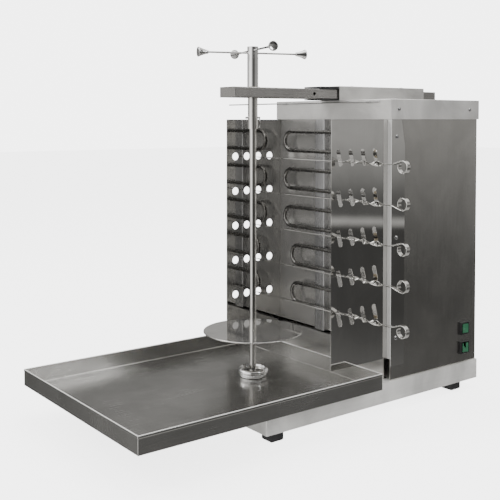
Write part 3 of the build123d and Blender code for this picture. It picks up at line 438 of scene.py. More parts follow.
class Look(Enum):
    """Every finish on the grill."""

    HOUSING = SheetSteel("brushed_housing_steel", (0.58, 0.57, 0.55), 0.19, Grain.UPRIGHT, smudge=0.06)
    CAP = SheetSteel("brushed_cap_steel", (0.80, 0.79, 0.77), 0.34, Grain.ACROSS, metallic=0.7, tone=0.26)
    SLEEVE = SheetSteel("brushed_sleeve_steel", (0.72, 0.71, 0.69), 0.34, Grain.DEPTH, metallic=0.78, tone=0.26)
    PLINTH = SheetSteel("plinth_steel", (0.88, 0.86, 0.83), 0.34, Grain.DEPTH, smudge=0.10, metallic=0.42, tone=0.3)
    # the wings: mirror steel with a painted highlight along each bend
    POLISHED = WingSteel("polished_wing_steel", (0.68, 0.675, 0.66), 0.03, Grain.UPRIGHT, contrast=0.1, smudge=0.015,
                         relief=0.003)
    PLATE = SheetSteel("polished_plate_steel", (0.84, 0.83, 0.81), 0.04, contrast=0.12, smudge=0.04, relief=0.002,
                       scuffed=0.03, metallic=0.93)
    REFLECTOR = SheetSteel("reflector_steel", (0.66, 0.65, 0.63), 0.20, Grain.UPRIGHT, smudge=0.06, relief=0.004,
                           metallic=0.8)
    SUPPORT = SheetSteel("support_channel_steel", (0.60, 0.60, 0.61), 0.25, Grain.UPRIGHT, relief=0.04)
    TRAY = TraySteel("tray_steel", (0.56, 0.555, 0.54), 0.21, Grain.DEPTH, smudge=0.06, relief=0.006, scuffed=0.012)
    BAR = SheetSteel("spit_bar_steel", (0.62, 0.61, 0.59), 0.16, Grain.UPRIGHT, contrast=0.25, smudge=0.06)
    ARM = SheetSteel("arm_tube_steel", (0.42, 0.41, 0.40), 0.24, Grain.DEPTH)
    STRIP = SheetSteel("skewer_strip_steel", (0.74, 0.73, 0.71), 0.10, Grain.ACROSS, contrast=0.25, smudge=0.06,
                       relief=0.02)
    CHROME = SheetSteel("bright_chrome", (0.80, 0.80, 0.80), 0.06, contrast=0.12, smudge=0.05, relief=0.01)
    SCREW = SheetSteel("zinc_screw_steel", (0.52, 0.52, 0.53), 0.16, relief=0.05)
    BRASS = SheetSteel("dull_bronze", (0.40, 0.34, 0.25), 0.34, relief=0.05)
    SHEATH = ScaledSteel("heater_sheath", (0.20, 0.197, 0.19), 0.15, scale_colour=(0.11, 0.106, 0.10), metallic=0.96)
    RUBBER = Moulded("foot_rubber", (0.010, 0.010, 0.011), 0.62, texture=1200.0, relief=0.3)
    GUIDE = Moulded("guide_plastic", (0.008, 0.008, 0.009), 0.42, texture=1400.0, relief=0.15)
    SWITCH = Moulded("switch_black", (0.006, 0.006, 0.007), 0.30, texture=1600.0, relief=0.1, coat=0.2)
    # the green rockers carry a small painted glow
    GREEN = Moulded("rocker_green", (0.022, 0.105, 0.052), 0.20, texture=1600.0, relief=0.05, coat=0.6, glow=0.05)
    FIBRE = Moulded("insulation_fibre", (0.62, 0.60, 0.54), 0.9, texture=500.0, relief=0.8)


class Paintbox:
    """Builds each look's material the first time that it is asked for."""

    @cache
    def get(self, look: Look) -> Material:
        """Returns the material of a look."""
        return look.value.build()

    def dress(self, piece: Object, look: Look) -> None:
        """Puts a look on all of a piece's material slots."""
        piece.data.materials.clear()
        piece.data.materials.append(self.get(look))


paint = Paintbox()


# Surfaces


HOLD = 0.4  # how far beside a curve its holding point stands, in radii
LONG_SIDE = 4  # a side longer than this many radii gets holding points


def skin(grid: np.ndarray, name: str) -> Object:
    """Makes a closed mesh from rings of points: each ring joins the next, and a fan closes both ends.

    Args:
        grid: points as rings by points round a ring by three, or several such grids stacked.
        name: the piece's name.

    Returns:
        The new object, with its faces pointing outwards.
    """
    copies = grid[None] if grid.ndim == 3 else grid
    count, rings, around = copies.shape[:3]
    ends = np.stack([copies[:, 0].mean(1), copies[:, -1].mean(1)], 1)
    points = np.concatenate([copies.reshape(count, -1, 3), ends], 1)
    i, j = np.meshgrid(np.arange(rings - 1), np.arange(around), indexing="ij")
    k = (j + 1) % around
    quads = np.stack([i * around + j, i * around + k, (i + 1) * around + k, (i + 1) * around + j], -1).reshape(-1, 4)
    first = rings * around
    j, k = j[0], k[0]
    fans = np.concatenate([np.stack([k, j, np.full(around, first)], -1),
                           np.stack([first - around + j, first - around + k, np.full(around, first + 1)], -1)])
    faces = []
    for shift in np.arange(count) * points.shape[1]:
        faces += (quads + shift).tolist() + (fans + shift).tolist()
    mesh = bpy.data.meshes.new(name)
    mesh.from_pydata(points.reshape(-1, 3).tolist(), [], faces)
    mesh.validate()
    piece = bpy.data.objects.new(name, mesh)
    bpy.context.scene.collection.objects.link(piece)
    face_outwards(mesh)
    mesh.shade_smooth()
    mesh.set_sharp_from_angle(angle=math.radians(32))
    return piece


def vertex_places(mesh: Mesh) -> np.ndarray:
    """Reads a mesh's points as rows of X, Y and Z."""
    places = np.zeros(len(mesh.vertices) * 3)
    mesh.vertices.foreach_get("co", places)
    return places.reshape(-1, 3)


def face_outwards(mesh: Mesh) -> None:
    """Turns a closed mesh's faces outwards: its signed volume, the sum of triple products, must be positive.

    Args:
        mesh: the mesh.
    """
    mesh.calc_loop_triangles()
    corners = np.zeros(len(mesh.loop_triangles) * 3, np.int32)
    mesh.loop_triangles.foreach_get("vertices", corners)
    a, b, c = vertex_places(mesh)[corners.reshape(-1, 3)].transpose(1, 0, 2)
    if np.einsum("ij,ij->i", a, np.cross(b, c)).sum() < 0:
        mesh.flip_normals()


def circle(angles: np.ndarray) -> np.ndarray:
    """The unit circle's points at some angles, as rows of cosine and sine."""
    return np.stack([np.cos(angles), np.sin(angles)], -1)


def round_angles(count: int) -> np.ndarray:
    """Evenly spaced angles once round a circle."""
    return np.linspace(0, 2 * math.pi, count, endpoint=False)


def turned(profile: np.ndarray, name: str, centre: Vector, along: Vector = UP, around: int = 64) -> Object:
    """Turns a profile about an axis: ring i has radius r_i at height h_i along the axis.

    Args:
        profile: rows of radius and height, in metres.
        name: the piece's name.
        centre: the axis's foot.
        along: the axis's direction.
        around: points round each ring.

    Returns:
        The turned piece.
    """
    turn = along.to_track_quat("Z", "X").to_matrix()
    ring = np.column_stack([circle(round_angles(around)), np.zeros(around)])
    local = profile[:, None, :1] * ring[None] + profile[:, None, 1:] * np.array(UP)
    return skin(local @ np.array(turn).T + np.array(centre), name)


def rounded(points: list[Pair] | np.ndarray, radius: float, steps: int = 5) -> np.ndarray:
    """Rounds a polyline's inner corners: each becomes a quadratic curve that starts and ends radius from it.

    A long side gets a holding point just beside each curve, so that its flat face stays flat to the light.

    Args:
        points: the polyline.
        radius: how far from a corner its curve starts, at most half of a side.
        steps: points on each curve.

    Returns:
        The rounded polyline's points.
    """
    given = np.array(points, float)
    out = [given[0]]
    share = np.linspace(0, 1, steps)[:, None]
    for before, corner, after in zip(given[:-2], given[1:-1], given[2:]):
        lengths = [np.linalg.norm(other - corner) for other in (before, after)]
        back, on = ((other - corner) / max(length, 1e-9) for other, length in zip((before, after), lengths))
        start, end = (corner + way * min(radius, 0.5 * length) for way, length in zip((back, on), lengths))
        if lengths[0] > LONG_SIDE * radius:
            out.append(start + HOLD * radius * back)
        out.extend((1 - share) ** 2 * start + 2 * share * (1 - share) * corner + share**2 * end)
        if lengths[1] > LONG_SIDE * radius:
            out.append(end + HOLD * radius * on)
    out.append(given[-1])
    return np.array(out)


def box_outline(half_x: float, half_y: float, radius: float, steps: int = 7) -> np.ndarray:
    """A rounded rectangle about its middle: four quarter circles with a holding point before and after each.

    Args:
        half_x: half of its width.
        half_y: half of its depth.
        radius: its corners' radius.
        steps: points on each quarter circle.

    Returns:
        The outline's points.
    """
    quarter = np.linspace(0, math.pi / 2, steps)
    sides = []
    for turn, corner in enumerate(((1, 1), (-1, 1), (-1, -1), (1, -1))):
        angle = quarter + turn * math.pi / 2
        arc = np.array(corner) * (half_x - radius, half_y - radius) + radius * circle(angle)
        first, last = (HOLD * radius * np.array([-np.sin(a), np.cos(a)]) for a in (angle[0], angle[-1]))
        sides.append(np.vstack([arc[:1] - first, arc, arc[-1:] + last]))
    return np.vstack(sides)


def place_piece(piece: Object, body: str, look: Look, slot: str, *nodes: str) -> None:
    """Dresses a finished piece, rides it on its body and lets it stand for its CAD nodes.

    Args:
        piece: the piece.
        body: the body that carries it.
        look: its finish.
        slot: its material slot; not used.
        nodes: the CAD nodes that it replaces.
    """
    paint.dress(piece, look)
    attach(piece, body)
    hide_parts(*nodes)
    log.info("piece %s on %s", piece.name, body)


# Sub-assemblies


@dataclass
class SheetWork:
    """The CAD sheets, tubes and fittings that keep their own shape and get a finish and softened edges."""

    looks: dict[Look, str] = field(default_factory=lambda: {
        Look.PLINTH: "base_shell base_cover tray_rail_left tray_rail_right",
        Look.REFLECTOR: "reflector apron",
        Look.HOUSING: "side_panel_left side_panel_right back_panel",
        Look.CAP: "cap",
        Look.SUPPORT: "element_support",
        Look.FIBRE: "insulation",
        Look.POLISHED: "wing_left wing_right",
        Look.ARM: "arm arm_end_plate",
        Look.SLEEVE: "arm_sleeve",
        Look.GUIDE: "arm_guide",
        Look.BRASS: "spit_bush heater_bushings",
        Look.BAR: "spit_rod spit_tube plate_collar",
        Look.CHROME: "handle_tube handle_spokes spit_pin rest_rod rest_rod_clips",
        Look.SWITCH: "cable_gland switch_body_1 switch_body_2",
        Look.RUBBER: "foot_front_left foot_front_right foot_back_left foot_back_right",
        Look.SCREW: "foot_screws",
        Look.SHEATH: "heater_1 heater_2 heater_3 heater_4 heater_5"})
    softened: str = ("base_shell tray_rail_left tray_rail_right apron side_panel_left side_panel_right cap "
                     "arm arm_end_plate arm_sleeve arm_guide switch_body_1 switch_body_2")
    edge: float = 0.6 * MM
    weld: float = 0.005 * MM
    flat_angle: float = math.radians(1.0)
    fold_angle: float = math.radians(40.0)

    def soften(self, piece: Object) -> None:
        """Gives a sheet's folds and cut edges a small round that catches the light.

        Args:
            piece: the sheet's object.
        """
        weld = piece.modifiers.new("join_triangles", "WELD")
        weld.merge_threshold = self.weld
        flat = piece.modifiers.new("whole_faces", "DECIMATE")
        flat.decimate_type = "DISSOLVE"
        flat.angle_limit = self.flat_angle
        round_off = piece.modifiers.new("edge_round", "BEVEL")
        round_off.width = self.edge
        round_off.segments = 2
        round_off.limit_method = "ANGLE"
        round_off.angle_limit = self.fold_angle
        round_off.harden_normals = True

    def dress(self) -> None:
        """Gives each node its finish, and the softened ones their rounded edges."""
        softened = self.softened.split()
        for look, nodes in self.looks.items():
            for node in nodes.split():
                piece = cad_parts[node]
                paint.dress(piece, look)
                if node in softened:
                    self.soften(piece)
                log.info("node %s dressed as %s", node, look.name)


@dataclass(frozen=True)
class ScrewField:
    """A node's screws: the axis they point along, as 0, 1 or 2, how many stand along X, Y and Z, and on which sides."""

    node: str
    axis: int
    counts: tuple[int, int, int]
    sides: tuple[float, ...] = (1.0,)


@dataclass
class ScrewHeads:
    """Pan heads with a cross recess, at the places of the screws."""

    radius: float = 3.8 * MM
    height: float = 2.2 * MM
    dome: float = 0.45
    lip: float = 0.25 * MM
    shank: float = 2.0 * MM
    depth: float = 6.0 * MM
    arm: float = 0.6 * MM
    reach: float = 2.3 * MM
    recess: float = 1.1 * MM
    soft: float = 0.2 * MM
    fields: tuple[ScrewField, ...] = (
        ScrewField("cap_screws", 0, (1, 2, 1), (1.0, -1.0)), ScrewField("wing_screws", 0, (1, 1, 3), (1.0, -1.0)),
        ScrewField("sleeve_screws", 2, (1, 2, 1)), ScrewField("back_screws", 1, (2, 1, 3)))

    def within(self, size: float, value: np.ndarray) -> np.ndarray:
        """1 where a distance is below a size and 0 where it is above, with a soft step between."""
        return np.clip((size - np.abs(value)) / self.soft + 0.5, 0, 1)

    def head(self) -> np.ndarray:
        """One screw standing on its seat: a dome falling as the fourth power of the radius, less a soft-edged cross.

        Returns:
            Its rings of points.
        """
        ring = circle(round_angles(48))
        reach = np.linspace(0.02, 1.0, 22)[:, None] * self.radius
        u, v = reach * ring[:, 0], reach * ring[:, 1]
        cross = np.maximum(self.within(self.arm, u) * self.within(self.reach, v),
                           self.within(self.arm, v) * self.within(self.reach, u))
        top = np.stack([u, v, self.height * (1 - self.dome * (reach / self.radius) ** 4) - self.recess * cross], -1)
        rings = [(self.radius, self.lip), (self.radius * 0.97, 0.0), (self.shank, 0.0), (self.shank, -self.depth)]
        below = np.array([np.column_stack([ring * size, np.full(len(ring), level)]) for size, level in rings])
        return np.concatenate([top, below])

    def seats(self, screws: ScrewField) -> np.ndarray:
        """Stands heads at even steps between a node's outermost screws, each turned to face out from its side.

        Args:
            screws: the node's screws.

        Returns:
            The heads' rings of points, stacked.
        """
        low, high = (np.array(corner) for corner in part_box(screws.node))
        steps = [np.linspace(a + self.radius, b - self.radius, n) if n > 1 else np.array([(a + b) / 2])
                 for a, b, n in zip(low, high, screws.counts)]
        unit = np.eye(3)[screws.axis]
        side = np.roll(unit, 1)
        heads = []
        for sign in screws.sides:
            face = high if sign > 0 else low
            steps[screws.axis] = np.array([face[screws.axis] - sign * self.height])
            turn = np.stack([side, np.cross(sign * unit, side), sign * unit], -1)
            places = np.stack(np.meshgrid(*steps, indexing="ij"), -1).reshape(-1, 3)
            heads += [self.head() @ turn.T + place for place in places]
        return np.array(heads)

    def build(self) -> None:
        """Builds the heads of each node's screws as one piece."""
        for screws in self.fields:
            heads = skin(self.seats(screws), f"{screws.node}_heads")
            place_piece(heads, "housing", Look.SCREW, "screw_steel", screws.node)


@dataclass
class Skewers:
    """Five flat skewers: strip with a drawn point, a whole turn of twist and a rolled ring."""

    rings_above: tuple[int, ...] = (2, 4)
    count: int = 5
    half_width: float = 5.0 * MM
    half_thick: float = 1.0 * MM
    tip_taper: float = 42.0 * MM
    tip_wide: float = 0.06
    tip_thick: float = 0.3
    twist_from: float = 150.0 * MM
    twist_to: float = 225.0 * MM
    bend_from: float = 243.0 * MM
    ring_x: float = 275.0 * MM
    ring_radius: float = 11.5 * MM
    ring_drop: float = 4.0 * MM
    ring_sweep: float = math.radians(292.0)
    ring_steps: int = 50
    corner: float = 0.55 * MM
    run_steps: tuple[int, ...] = (14, 12, 61, 5, 20)

    def build(self, number: int) -> None:
        """Sweeps a rounded strip along a line: straight, one turn about itself, an easy bend, then round the ring.

        The bend rises as the smooth step 3s^2 - 2s^3 of the way along it, and the ring is a circle's arc
        that starts where the bend ends.

        Args:
            number: the skewer, from 1 at the bottom.
        """
        low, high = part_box(f"skewer_{number}")
        axis_y = (low.y + high.y) / 2
        side = 1.0 if number in self.rings_above else -1.0
        axis_z = low.z + self.half_width if side > 0 else high.z - self.half_width
        rise = -side * (self.ring_radius - self.ring_drop)
        ends = (low.x, low.x + self.tip_taper, self.twist_from, self.twist_to, self.bend_from, self.ring_x)
        runs = [np.linspace(start, end, steps)[1:] for start, end, steps in zip(ends, ends[1:], self.run_steps)]
        along = np.concatenate([[low.x], *runs])
        turn = 2 * math.pi * np.clip((along - self.twist_from) / (self.twist_to - self.twist_from), 0, 1)
        taper = np.clip((along - low.x) / self.tip_taper, self.tip_wide, 1.0)[:, None]
        share = np.clip((along - self.bend_from) / (self.ring_x - self.bend_from), 0, 1)
        lift = rise * (3 * share**2 - 2 * share**3)
        slope = np.arctan(rise * 6 * (share - share**2) / (self.ring_x - self.bend_from))
        zeros = np.zeros_like(along)
        line = np.stack([along, zeros + axis_y, axis_z + lift], -1)
        wide = np.stack([zeros, np.cos(turn), np.sin(turn)], -1) * taper
        thick = np.stack([-np.sin(slope), -np.sin(turn), np.cos(turn) * np.cos(slope)], -1)
        thick = thick * np.clip(taper * 2, self.tip_thick, 1.0)
        phi = np.linspace(0, self.ring_sweep, self.ring_steps)[1:]
        outward = np.stack([np.sin(phi), 0 * phi, -side * np.cos(phi)], -1)
        hub = np.array([self.ring_x, axis_y, axis_z + rise + side * self.ring_radius])
        section = box_outline(self.half_width, self.half_thick, self.corner, 4)
        centres = np.vstack([line, hub + self.ring_radius * outward])
        wides = np.vstack([wide, np.tile([0.0, 1.0, 0.0], (len(phi), 1))])
        thicks = np.vstack([thick, -side * outward])
        grid = centres[:, None] + section[None, :, :1] * wides[:, None] + section[None, :, 1:] * thicks[:, None]
        piece = skin(grid, f"skewer_strip_{number}")
        place_piece(piece, f"skewer_{number}", Look.STRIP, "skewer_steel", f"skewer_{number}")

    def build_all(self) -> None:
        """Builds every skewer."""
        for number in range(1, self.count + 1):
            self.build(number)


@dataclass
class Rockers:
    """The green rockers: each front has two flats that meet in a valley."""

    outline: tuple[Pair, ...] = (
        (-6.0, 0.0), (-6.0, -6.0), (2.2, -8.4), (2.9, -7.9), (0.7, 0.0), (2.9, 7.9), (2.2, 8.4), (-6.0, 6.0),
        (-6.0, 0.0))
    levels: tuple[float, ...] = (-1.0, -0.97, 0.97, 1.0)
    shrink: tuple[float, ...] = (0.9, 1.0, 1.0, 0.9)
    half_height: float = 9.9 * MM
    tilt: float = math.radians(-7.0)
    sink: float = 1.5 * MM
    round_ends: float = 0.5 * MM

    def build(self) -> None:
        """Stacks the rocker's outline, seen from above, up its height, a little smaller at both ends."""
        outline = rounded(np.array(self.outline) * MM, self.round_ends, 4)[:-1]
        turn = np.array([[math.cos(self.tilt), -math.sin(self.tilt)], [math.sin(self.tilt), math.cos(self.tilt)]])
        for number in (1, 2):
            low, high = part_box(f"switch_body_{number}")
            centre = np.array([high.x - self.sink, (low.y + high.y) / 2])
            rings = centre + np.array(self.shrink)[:, None, None] * (outline @ turn.T)[None]
            heights = np.array(self.levels) * self.half_height + (low.z + high.z) / 2
            heights = np.broadcast_to(heights[:, None, None], (*rings.shape[:2], 1))
            piece = skin(np.concatenate([rings, heights], -1), f"green_rocker_{number}")
            place_piece(piece, f"rocker_{number}", Look.GREEN, "green_plastic", f"rocker_{number}")


@dataclass
class Tray:
    """The drip tray: floor, upright walls and a hem folded over the rim."""

    sheet: float = 1.2 * MM
    corner: float = 2.0 * MM
    tight_corner: float = 0.4 * MM
    fold: float = 1.4 * MM
    hem: float = 5.0 * MM
    hem_proud: float = 0.5 * MM
    floor_margin: float = 60.0 * MM

    def build(self) -> None:
        """Carries the wall's section round the tray: each ring is the outline drawn in by d at height z."""
        low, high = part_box("tray")
        middle, half = (low + high) / 2, (high - low) / 2
        t, base, rim = self.sheet, low.z, high.z
        section = rounded(
            [(self.floor_margin, base + t), (2 * t, base + t), (2 * t, rim - t), (1.4 * t, rim), (0.5 * t, rim),
             (0.0, rim - 0.6 * t), (0.0, rim - self.hem), (self.hem_proud, rim - self.hem), (self.hem_proud, base),
             (self.floor_margin, base)], self.fold, 6)
        grid = []
        for inset, height in section:
            ring = box_outline(half.x - inset, half.y - inset, max(self.corner - inset, self.tight_corner), 6)
            grid.append(np.column_stack([ring[:, 0] + middle.x, ring[:, 1] + middle.y, np.full(len(ring), height)]))
        place_piece(skin(np.array(grid), "tray_pressing"), "tray", Look.TRAY, "tray_steel", "tray")


@dataclass
class Spit:
    """What turns on the spit: plate, cross handle knobs and the lock pin's split ring."""

    plate_edge: float = 0.6 * MM
    plate_gap: float = 0.05 * MM
    handle_turn: float = math.radians(72.4)
    knob_turns: tuple[float, ...] = (0.0, math.pi, -math.pi / 2, math.pi / 2)
    knob_reach: float = 116.0 * MM
    knob_length: float = 22.0 * MM
    knob_radius: float = 10.0 * MM
    knob_neck: float = 4.0 * MM
    knob_socket: float = 2.1 * MM
    socket_depth: float = 0.6 * MM
    knob_edge: float = 1.1 * MM
    ring_radius: float = 10.5 * MM
    ring_wire: float = 0.6 * MM
    ring_pitch: float = 1.575 * MM

    def axis(self) -> Vector:
        """The point where the spit's axis meets the frame's ground height."""
        low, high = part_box("spit_rod")
        return Vector(((low.x + high.x) / 2, (low.y + high.y) / 2, 0.0))

    def plate(self) -> None:
        """Turns the flat round plate, its rim rounded."""
        low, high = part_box("meat_plate")
        rod_low, rod_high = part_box("spit_rod")
        radius, thick = (high.x - low.x) / 2, high.z - low.z
        bore = (rod_high.x - rod_low.x) / 2 + self.plate_gap
        section = rounded([(bore, 0.0), (bore, thick), (radius - thick, thick), (radius, thick), (radius, 0.0),
                           (radius - thick, 0.0), (bore, 0.0)], self.plate_edge, 5)
        piece = turned(section, "round_plate", self.axis() + Vector((0, 0, low.z)), around=128)
        place_piece(piece, "spit", Look.PLATE, "polished_steel", "meat_plate")

    def knob_profile(self) -> np.ndarray:
        """A cone's profile from its socket to its dished outer face, as rows of radius and height."""
        length, wide, neck = self.knob_length, self.knob_radius, self.knob_neck
        hole, deep = self.knob_socket, self.socket_depth
        return rounded([(0.0, deep), (hole, deep), (hole, 0.0), (neck, 0.0), (neck * 1.08, 0.2 * length),
                        (wide * 0.72, 0.62 * length), (wide, 0.9 * length), (wide, 0.97 * length),
                        (wide * 0.86, length), (wide * 0.5, 0.955 * length), (0.0, 0.94 * length)], self.knob_edge, 5)

    def knobs(self) -> None:
        """Turns the four knobs, each about its own spoke."""
        for number, turn in enumerate(self.knob_turns, start=1):
            low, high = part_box(f"handle_knob_{number}")
            angle = self.handle_turn + turn
            along = Vector((math.cos(angle), math.sin(angle), 0.0))
            root = self.axis() + along * (self.knob_reach - self.knob_length) + Vector((0, 0, (low.z + high.z) / 2))
            piece = turned(self.knob_profile(), f"knob_{number}", root, along, 40)
            place_piece(piece, "spit", Look.CHROME, "chrome", f"handle_knob_{number}")

    def split_ring(self) -> None:
        """Winds the lock pin's ring: two turns of wire side by side, a helix of small pitch."""
        low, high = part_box("spit_pin_ring")
        centre = (np.array(low) + np.array(high)) / 2
        out = np.array([math.cos(self.handle_turn), math.sin(self.handle_turn), 0.0])
        across = np.array([-out[1], out[0], 0.0])
        turn = np.linspace(0, 4 * math.pi, 120)
        radial = circle(turn) @ np.stack([across, [0.0, 0.0, 1.0]])
        line = centre + self.ring_radius * radial + out * ((turn / (4 * math.pi) - 0.5)[:, None] * self.ring_pitch)
        wire = circle(round_angles(8))
        grid = line[:, None] + self.ring_wire * (wire[None, :, :1] * radial[:, None] + wire[None, :, 1:] * out)
        place_piece(skin(grid, "split_ring"), "spit", Look.CHROME, "chrome", "spit_pin_ring")

    def build(self) -> None:
        """Builds every piece that turns."""
        self.plate()
        self.knobs()
        self.split_ring()


@dataclass
class Cup:
    """The turned cup that the spit's foot stands in: a wide rounded rim over a grooved, ribbed foot."""

    outside: tuple[Pair, ...] = (
        (0.0, 0.0), (25.575, 0.0), (27.5, 1.5), (27.5, 6.2), (24.75, 6.8), (24.75, 7.8), (30.4, 8.4), (32.0, 10.5))
    rim: float = 32.0 * MM
    recess: float = 24.5 * MM
    recess_depth: float = 5.0 * MM
    recess_slope: float = 1.5 * MM
    bore: float = 7.1 * MM
    bore_depth: float = 12.0 * MM
    edge: float = 1.2 * MM
    foot: float = 27.5 * MM
    rib: float = 0.7 * MM
    rib_count: int = 48
    rib_top: float = 6.3 * MM

    def build(self) -> None:
        """Turns the cup; the foot's radius swings by a small sine, which makes its ribs."""
        low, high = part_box("spit_cup")
        tall = high.z - low.z
        centre = Vector(((low.x + high.x) / 2, (low.y + high.y) / 2, low.z))
        floor, bottom = tall - self.recess_depth, tall - self.bore_depth
        inside = [(self.rim * 0.97, tall * 0.86), (self.rim * 0.88, tall), (self.recess + self.recess_slope, tall),
                  (self.recess, floor), (self.bore, floor), (self.bore, bottom), (0.0, bottom)]
        profile = rounded(np.vstack([np.array(self.outside) * MM, inside]), self.edge, 5)
        piece = turned(profile, "turned_cup", centre, around=self.rib_count * 4)
        places = vertex_places(piece.data)
        middle = np.array(centre)[:2]
        flat = places[:, :2] - middle
        ribbed = (np.linalg.norm(flat, axis=1) > self.foot * 0.97) & (places[:, 2] - low.z < self.rib_top)
        swing = 1 - self.rib / self.foot * (0.5 + 0.5 * np.sin(self.rib_count * np.arctan2(flat[:, 1], flat[:, 0])))
        places[ribbed, :2] = middle + flat[ribbed] * swing[ribbed, None]
        piece.data.vertices.foreach_set("co", places.ravel())
        piece.data.update()
        place_piece(piece, "cup", Look.CHROME, "chrome", "spit_cup")


# The room


@dataclass(frozen=True)
class Softbox:
    """A square soft light at a place, aimed at a point."""

    name: str
    place: Triple
    aim: Triple
    size: float
    power: float


@dataclass(frozen=True)
class Patch:
    """A part of the hall about a level heading, whose gain sets in at start and is whole at full."""

    heading: Pair
    start: float
    full: float
    gain: float
    outside: float = 1.0

    def lit(self, bench: Bench, way: Node) -> Socket:
        """Works out the gain from how far a direction points to the heading: the sum of the products of X and Y.

        Args:
            bench: the world's bench.
            way: the direction, split.

        Returns:
            The gain.
        """
        x, y = (bench.product(way.outputs[axis], part) for axis, part in zip("XY", self.heading))
        return bench.spread(bench.math("ADD", x, y), self.start, self.full, self.outside, self.gain)


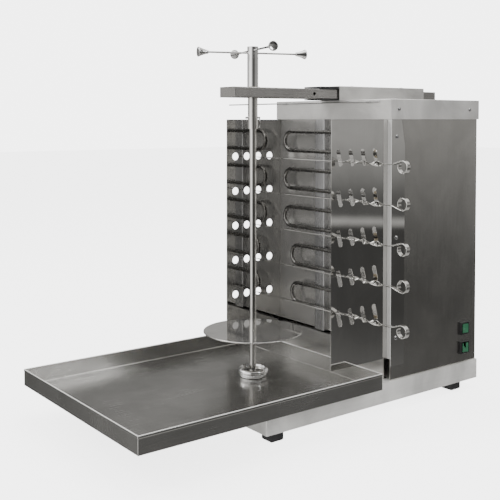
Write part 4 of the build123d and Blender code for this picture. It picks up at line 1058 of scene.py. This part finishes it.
@dataclass
class Studio:
    """The pale floor, the soft lights and the camera at the photograph's place."""

    camera_place: Triple = (1.375, -1.2655, 0.570)
    camera_heading: Triple = (-0.7969, 0.6031, -0.0349)
    lens: float = 61.47
    shift: Pair = (0.0046, -0.2)
    far_limit: float = 60.0
    floor_height: float = -21.0 * MM
    floor_half: float = 14.0
    floor_grey: float = 0.9
    floor_glow: float = 3.4
    room_light: float = 1.1
    backdrop: float = 5.0
    window: Patch = Patch((-0.35, -0.937), 0.45, 0.85, 2.2)
    strip: Patch = Patch((-0.35, 0.937), 0.9, 0.97, 2.6)
    strip_heights: Pair = (0.08, 0.16)
    shade: Patch = Patch((0.85, -0.527), 0.6, 0.9, 0.3)
    left: Patch = Patch((-1.0, 0.0), 0.81, 0.93, 0.5)
    panel: Patch = Patch((0.1, -0.995), 0.78, 0.92, 1.5, outside=0.0)
    panel_colour: tuple[float, float, float, float] = (1.0, 0.99, 0.97, 1.0)
    hall: tuple[Pair, ...] = (
        (-0.9, 0.7), (-0.6, 0.5), (-0.48, 0.16), (-0.28, 0.14), (-0.22, 0.075), (-0.1235, 0.07), (-0.121, 0.6),
        (-0.117, 0.6), (-0.1145, 0.12), (-0.09, 0.13), (-0.06, 0.32), (-0.02, 0.48), (0.1, 0.40), (0.19, 0.36),
        (0.255, 0.38), (0.32, 0.23), (0.45, 0.2), (0.62, 1.1), (0.98, 1.3))
    lamps: tuple[Softbox, ...] = (
        Softbox("key_softbox", (-1.4, -2.2, 2.3), (0.0, -0.1, 0.3), 1.4, 40.0),
        Softbox("right_softbox", (2.6, 1.0, 1.9), (0.1, 0.1, 0.4), 1.2, 25.0),
        Softbox("top_softbox", (0.0, 0.2, 2.9), (0.0, 0.0, 0.0), 1.8, 30.0))

    def aimed(self, data: ID, place: Triple, way: Vector) -> Object:
        """Stands a camera or a lamp at a place, looking one way.

        Args:
            data: the camera or lamp.
            place: where it stands.
            way: where it looks.

        Returns:
            The new object.
        """
        thing = bpy.data.objects.new(data.name, data)
        thing.location = place
        thing.rotation_mode = "QUATERNION"
        thing.rotation_quaternion = way.to_track_quat("-Z", "Y")
        bpy.context.scene.collection.objects.link(thing)
        return thing

    def camera(self) -> None:
        """Puts the camera where the photograph was taken, tipped down a little."""
        data = bpy.data.cameras.new("photo_camera")
        data.lens = self.lens
        data.sensor_width = 36.0
        data.shift_x, data.shift_y = self.shift
        data.clip_end = self.far_limit
        bpy.context.scene.camera = self.aimed(data, self.camera_place, Vector(self.camera_heading))

    def light(self, box: Softbox) -> None:
        """Hangs a soft light.

        Args:
            box: the light's sizes.
        """
        data = bpy.data.lights.new(box.name, "AREA")
        data.shape = "SQUARE"
        data.size = box.size
        data.energy = box.power
        self.aimed(data, box.place, Vector(box.aim) - Vector(box.place))

    def floor(self) -> None:
        """Lays the pale floor, which lights itself a little and is hidden from mirrors and from bounced light."""
        mesh = bpy.data.meshes.new("pale_floor")
        half, z = self.floor_half, self.floor_height
        mesh.from_pydata([(-half, -half, z), (half, -half, z), (half, half, z), (-half, half, z)], [], [(0, 1, 2, 3)])
        material = bpy.data.materials.new("pale_floor")
        material.use_nodes = True
        Bench(material.node_tree).feed(
            material.node_tree.nodes["Principled BSDF"], Base_Color=(self.floor_grey,) * 3 + (1.0,), Roughness=0.9,
            Specular_IOR_Level=0.1, Emission_Color=WHITE, Emission_Strength=self.floor_glow)
        mesh.materials.append(material)
        floor = bpy.data.objects.new("pale_floor", mesh)
        bpy.context.scene.collection.objects.link(floor)
        floor.visible_glossy = False
        floor.visible_diffuse = False

    def world(self) -> None:
        """A pale room to the camera and a grey hall with a bright ceiling to whatever mirrors it."""
        world = bpy.data.worlds.new("pale_room")
        bpy.context.scene.world = world
        world.use_nodes = True
        bench = Bench(world.node_tree)
        pale = world.node_tree.nodes["Background"]
        ray = bench.add("ShaderNodeLightPath")
        seen = bench.spread(ray.outputs["Is Camera Ray"], 0.0, 1.0, self.room_light, self.backdrop)
        bench.feed(pale, Color=WHITE, Strength=seen)
        way = bench.split(bench.add("ShaderNodeTexCoord").outputs["Generated"])
        ramp = bench.add("ShaderNodeValToRGB")
        bench.feed(ramp, Fac=bench.spread(way.outputs["Z"], -1.0, 1.0, 0.0, 1.0))
        stops = ramp.color_ramp.elements
        while len(stops) < len(self.hall):
            stops.new(0.5)
        for stop, (height, grey) in zip(stops, self.hall):
            stop.position = 0.5 + height / 2
            stop.color = (grey, grey * 0.985, grey * 0.95, 1.0)
        low = bench.spread(way.outputs["Z"], *self.strip_heights, 1.0, 0.0)
        strip = bench.math("ADD", 1.0, bench.product(bench.math("SUBTRACT", self.strip.lit(bench, way), 1.0), low))
        window, shade, left = (patch.lit(bench, way) for patch in (self.window, self.shade, self.left))
        gain = bench.product(bench.product(window, strip), bench.product(shade, left))
        grey = bench.feed(bench.add("ShaderNodeBackground"), Color=ramp.outputs["Color"], Strength=gain)
        panel = bench.add("ShaderNodeBackground")
        bench.feed(panel, Color=self.panel_colour, Strength=self.panel.lit(bench, way))
        hall = bench.add("ShaderNodeAddShader")
        bench.put(grey.outputs[0], hall.inputs[0])
        bench.put(panel.outputs[0], hall.inputs[1])
        choose = bench.add("ShaderNodeMixShader")
        for socket, source in zip(choose.inputs, (ray.outputs["Is Glossy Ray"], pale.outputs[0], hall.outputs[0])):
            bench.put(source, socket)
        bench.put(choose.outputs[0], world.node_tree.nodes["World Output"].inputs["Surface"])

    def build(self) -> None:
        """Builds the room."""
        self.camera()
        self.world()
        self.floor()
        for box in self.lamps:
            self.light(box)


def main() -> None:
    """Builds the room, dresses the sheets and builds each sub-assembly in turn."""
    logging.basicConfig(level=logging.INFO, format="%(name)s: %(message)s")
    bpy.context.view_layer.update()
    Studio().build()
    SheetWork().dress()
    ScrewHeads().build()
    Skewers().build_all()
    Rockers().build()
    Tray().build()
    Spit().build()
    Cup().build()


if __name__ == "__main__":
    main()
